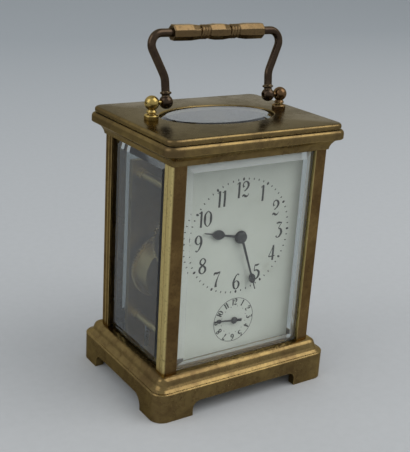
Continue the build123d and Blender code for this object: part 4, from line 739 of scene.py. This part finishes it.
def rounded_ring(over, corner_r, z):
    """Points of a rounded rectangle round the pillars, over millimetres beyond their faces."""
    half_x, half_y = CASE_HALF[0] + over, CASE_HALF[1] + over
    corners = []
    for quarter, (sx, sy) in enumerate(((1, 1), (-1, 1), (-1, -1), (1, -1))):
        cx, cy = sx * (half_x - corner_r), sy * (half_y - corner_r)
        corner = []
        for step in range(CORNER_STEPS + 1):
            angle = math.radians(90 * quarter + 90 * step / CORNER_STEPS)
            corner.append((cx + corner_r * math.cos(angle), cy + corner_r * math.sin(angle), z))
        corners.append(corner)
    points = []
    for corner, following in zip(corners, corners[1:] + corners[:1]):
        points += corner
        (x0, y0, _), (x1, y1, _) = corner[-1], following[0]
        for step in range(1, SIDE_STEPS):
            share = step / SIDE_STEPS
            points.append((x0 + (x1 - x0) * share, y0 + (y1 - y0) * share, z))
    return points


def quarter_round(over, z, radius, corner_r, steps=5):
    """Rings of a rounded upper edge, from its vertical face to its top."""
    rings = []
    for step in range(steps + 1):
        angle = math.radians(90 * step / steps)
        inset = radius * (1 - math.cos(angle))
        height = z - radius + radius * math.sin(angle)
        rings.append(rounded_ring(over - inset, corner_r - inset * 0.6, height))
    return rings


def dress_cornice(looks):
    """Cornice with the tight corners and the small overhang that the photograph shows."""
    low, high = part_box("cornice")[0].z / MM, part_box("cornice")[1].z / MM
    bull_low, bull_high, tier_low = low + COVE_HEIGHT, low + BULL_TOP, low + TIER_FOOT
    rings = [rounded_ring(-PILLAR_SIDE, INNER_CORNER_R, low),
             rounded_ring(COVE_FOOT_OVER, COVE_CORNER_R, low)]
    for share, over in COVE_OVER:
        rings.append(rounded_ring(over, COVE_CORNER_R + COVE_CORNER_GROWTH * share,
                                  low + COVE_HEIGHT * share))
    rings.append(rounded_ring(BULL_OVER - BULL_FILLET, BULL_CORNER_R - 0.2, bull_low))
    rings.append(rounded_ring(BULL_OVER, BULL_CORNER_R, bull_low + BULL_FILLET))
    rings += quarter_round(BULL_OVER, bull_high, BULL_ROUND_R, BULL_CORNER_R)
    rings.append(rounded_ring(TIER_OVER - NECK_IN, TIER_CORNER_R - NECK_IN, bull_high))
    rings.append(rounded_ring(TIER_OVER - NECK_IN, TIER_CORNER_R - NECK_IN, tier_low))
    rings.append(rounded_ring(TIER_OVER, TIER_CORNER_R, tier_low))
    rings += quarter_round(TIER_OVER, high, TIER_ROUND_R, TIER_CORNER_R)
    top = rings[-1]
    for wider, z in ((OVAL_CHAMFER, high), (0.0, high - OVAL_CHAMFER), (0.0, high - TOP_T)):
        a, b = OVAL_HALF[0] + wider, OVAL_HALF[1] + wider
        oval = []
        for x, y, _ in top:
            angle = math.atan2(y / b, x / a)
            oval.append((a * math.cos(angle), b * math.sin(angle), z))
        rings.append(oval)
    rings.append(rounded_ring(-PILLAR_SIDE, INNER_CORNER_R, high - TOP_T))
    bm = bmesh.new()
    rows = [[bm.verts.new((x * MM, y * MM, z * MM)) for x, y, z in ring] for ring in rings]
    join_rings(bm, rows, closed=True)
    bmesh.ops.recalc_face_normals(bm, faces=bm.faces)
    piece = add_mesh("cornice_moulded", bm, looks["cornice"], "case", 35)
    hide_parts("cornice")


def barrel_mesh(bm, x0, x1, narrow0, narrow1, sides=8):
    """Faceted barrel of the grip with bevelled ends, narrower at either end as asked."""
    length = x1 - x0
    rings = []
    for share, radius in ((0.0, narrow0 - 0.35 * MM), (0.03, narrow0), (0.3, GRIP_R), (0.7, GRIP_R),
                          (0.97, narrow1), (1.0, narrow1 - 0.35 * MM)):
        ring = []
        for index in range(sides):
            angle = 2 * math.pi * (index + 0.5) / sides
            ring.append(bm.verts.new((x0 + share * length, GRIP_AT[0] + radius * math.cos(angle),
                                      GRIP_AT[1] + radius * math.sin(angle))))
        rings.append(ring)
    join_rings(bm, rings)
    bm.faces.new(rings[0][::-1])
    bm.faces.new(rings[-1])


def tilted_bead(bm, x, radius, wire_r, tilt, count=28, around=8):
    """Ring round the grip, leaning along it, as one turn of a twisted collar."""
    rows = []
    for index in range(count):
        angle = 2 * math.pi * index / count
        lean = math.sin(angle) * radius * math.tan(math.radians(tilt))
        row = []
        for step in range(around):
            spin = 2 * math.pi * step / around
            r = radius + wire_r * math.cos(spin)
            row.append(bm.verts.new((x + lean + wire_r * math.sin(spin), GRIP_AT[0] + r * math.cos(angle),
                                     GRIP_AT[1] + r * math.sin(angle))))
        rows.append(row)
    for index in range(count):
        first, second = rows[index], rows[(index + 1) % count]
        for step in range(around):
            following = (step + 1) % around
            bm.faces.new((first[step], second[step], second[following], first[following]))


def dress_grip(looks):
    """Long faceted barrels and twisted collars round the core of the grip."""
    bm = bmesh.new()
    end_r = GRIP_R - 0.05 * MM
    neck_r = GRIP_R - 0.35 * MM
    end, collars_end, collars_start = 20.3 * MM, 8.7 * MM, 4.6 * MM
    barrel_mesh(bm, -end, -collars_end, end_r, neck_r)
    barrel_mesh(bm, -collars_start, collars_start, neck_r, neck_r)
    barrel_mesh(bm, collars_end, end, neck_r, end_r)
    bmesh.ops.recalc_face_normals(bm, faces=bm.faces)
    add_mesh("grip_barrels", bm, looks["handle"], "handle")
    bm = bmesh.new()
    for side in (-1, 1):
        for place in (5.4, 6.65, 7.9):
            tilted_bead(bm, side * place * MM, radius=2.15 * MM, wire_r=0.62 * MM, tilt=16)
    bmesh.ops.recalc_face_normals(bm, faces=bm.faces)
    add_mesh("grip_collars", bm, looks["handle"], "handle", 60)


# Stage

def add_floor():
    """Pale paper floor that goes back beyond the camera's view."""
    bm = bmesh.new()
    half, near, far, count = 4.0, -3.0, 6.0, 24
    rows = []
    for j in range(count + 1):
        y = near + (far - near) * j / count
        rows.append([bm.verts.new((-half + 2 * half * i / count, y, 0.0)) for i in range(count + 1)])
    for first, second in zip(rows, rows[1:]):
        for index in range(count):
            bm.faces.new((first[index], first[index + 1], second[index + 1], second[index]))
    mesh = bpy.data.meshes.new("studio_floor")
    bm.to_mesh(mesh)
    bm.free()
    floor = bpy.data.objects.new("studio_floor", mesh)
    bpy.context.scene.collection.objects.link(floor)
    mesh.materials.append(floor_paper())


def area_light(name, place, target, size, power):
    """White soft box at place that points at target; size is (width, height) in metres, power in watts."""
    data = bpy.data.lights.new(name, "AREA")
    data.shape = "RECTANGLE"
    data.size, data.size_y = size
    data.energy = power
    lamp = bpy.data.objects.new(name, data)
    lamp.location = place
    lamp.rotation_euler = (Vector(target) - Vector(place)).to_track_quat("-Z", "Y").to_euler()
    bpy.context.scene.collection.objects.link(lamp)


def light_scene():
    """Key light from the right front and above, a weaker one from the left, and a pale even sky."""
    middle = (0, 0, 0.07)
    area_light("key_softbox", (0.75, -0.65, 1.25), middle, size=(1.2, 1.2), power=10.5)
    area_light("left_softbox", (-1.2, 0.1, 0.9), middle, size=(0.9, 1.2), power=5.0)
    world = bpy.data.worlds.new("studio")
    bpy.context.scene.world = world
    world.use_nodes = True
    background = world.node_tree.nodes["Background"]
    background.inputs["Color"].default_value = (0.93, 0.97, 1.0, 1.0)
    background.inputs["Strength"].default_value = 0.65


add_camera()
LOOKS = make_materials()
dress_nodes(LOOKS)
dress_dial(LOOKS)
dress_hands(LOOKS)
dress_grip(LOOKS)
dress_cornice(LOOKS)
add_floor()
light_scene()
bpy.context.scene.view_settings.view_transform = "Standard"
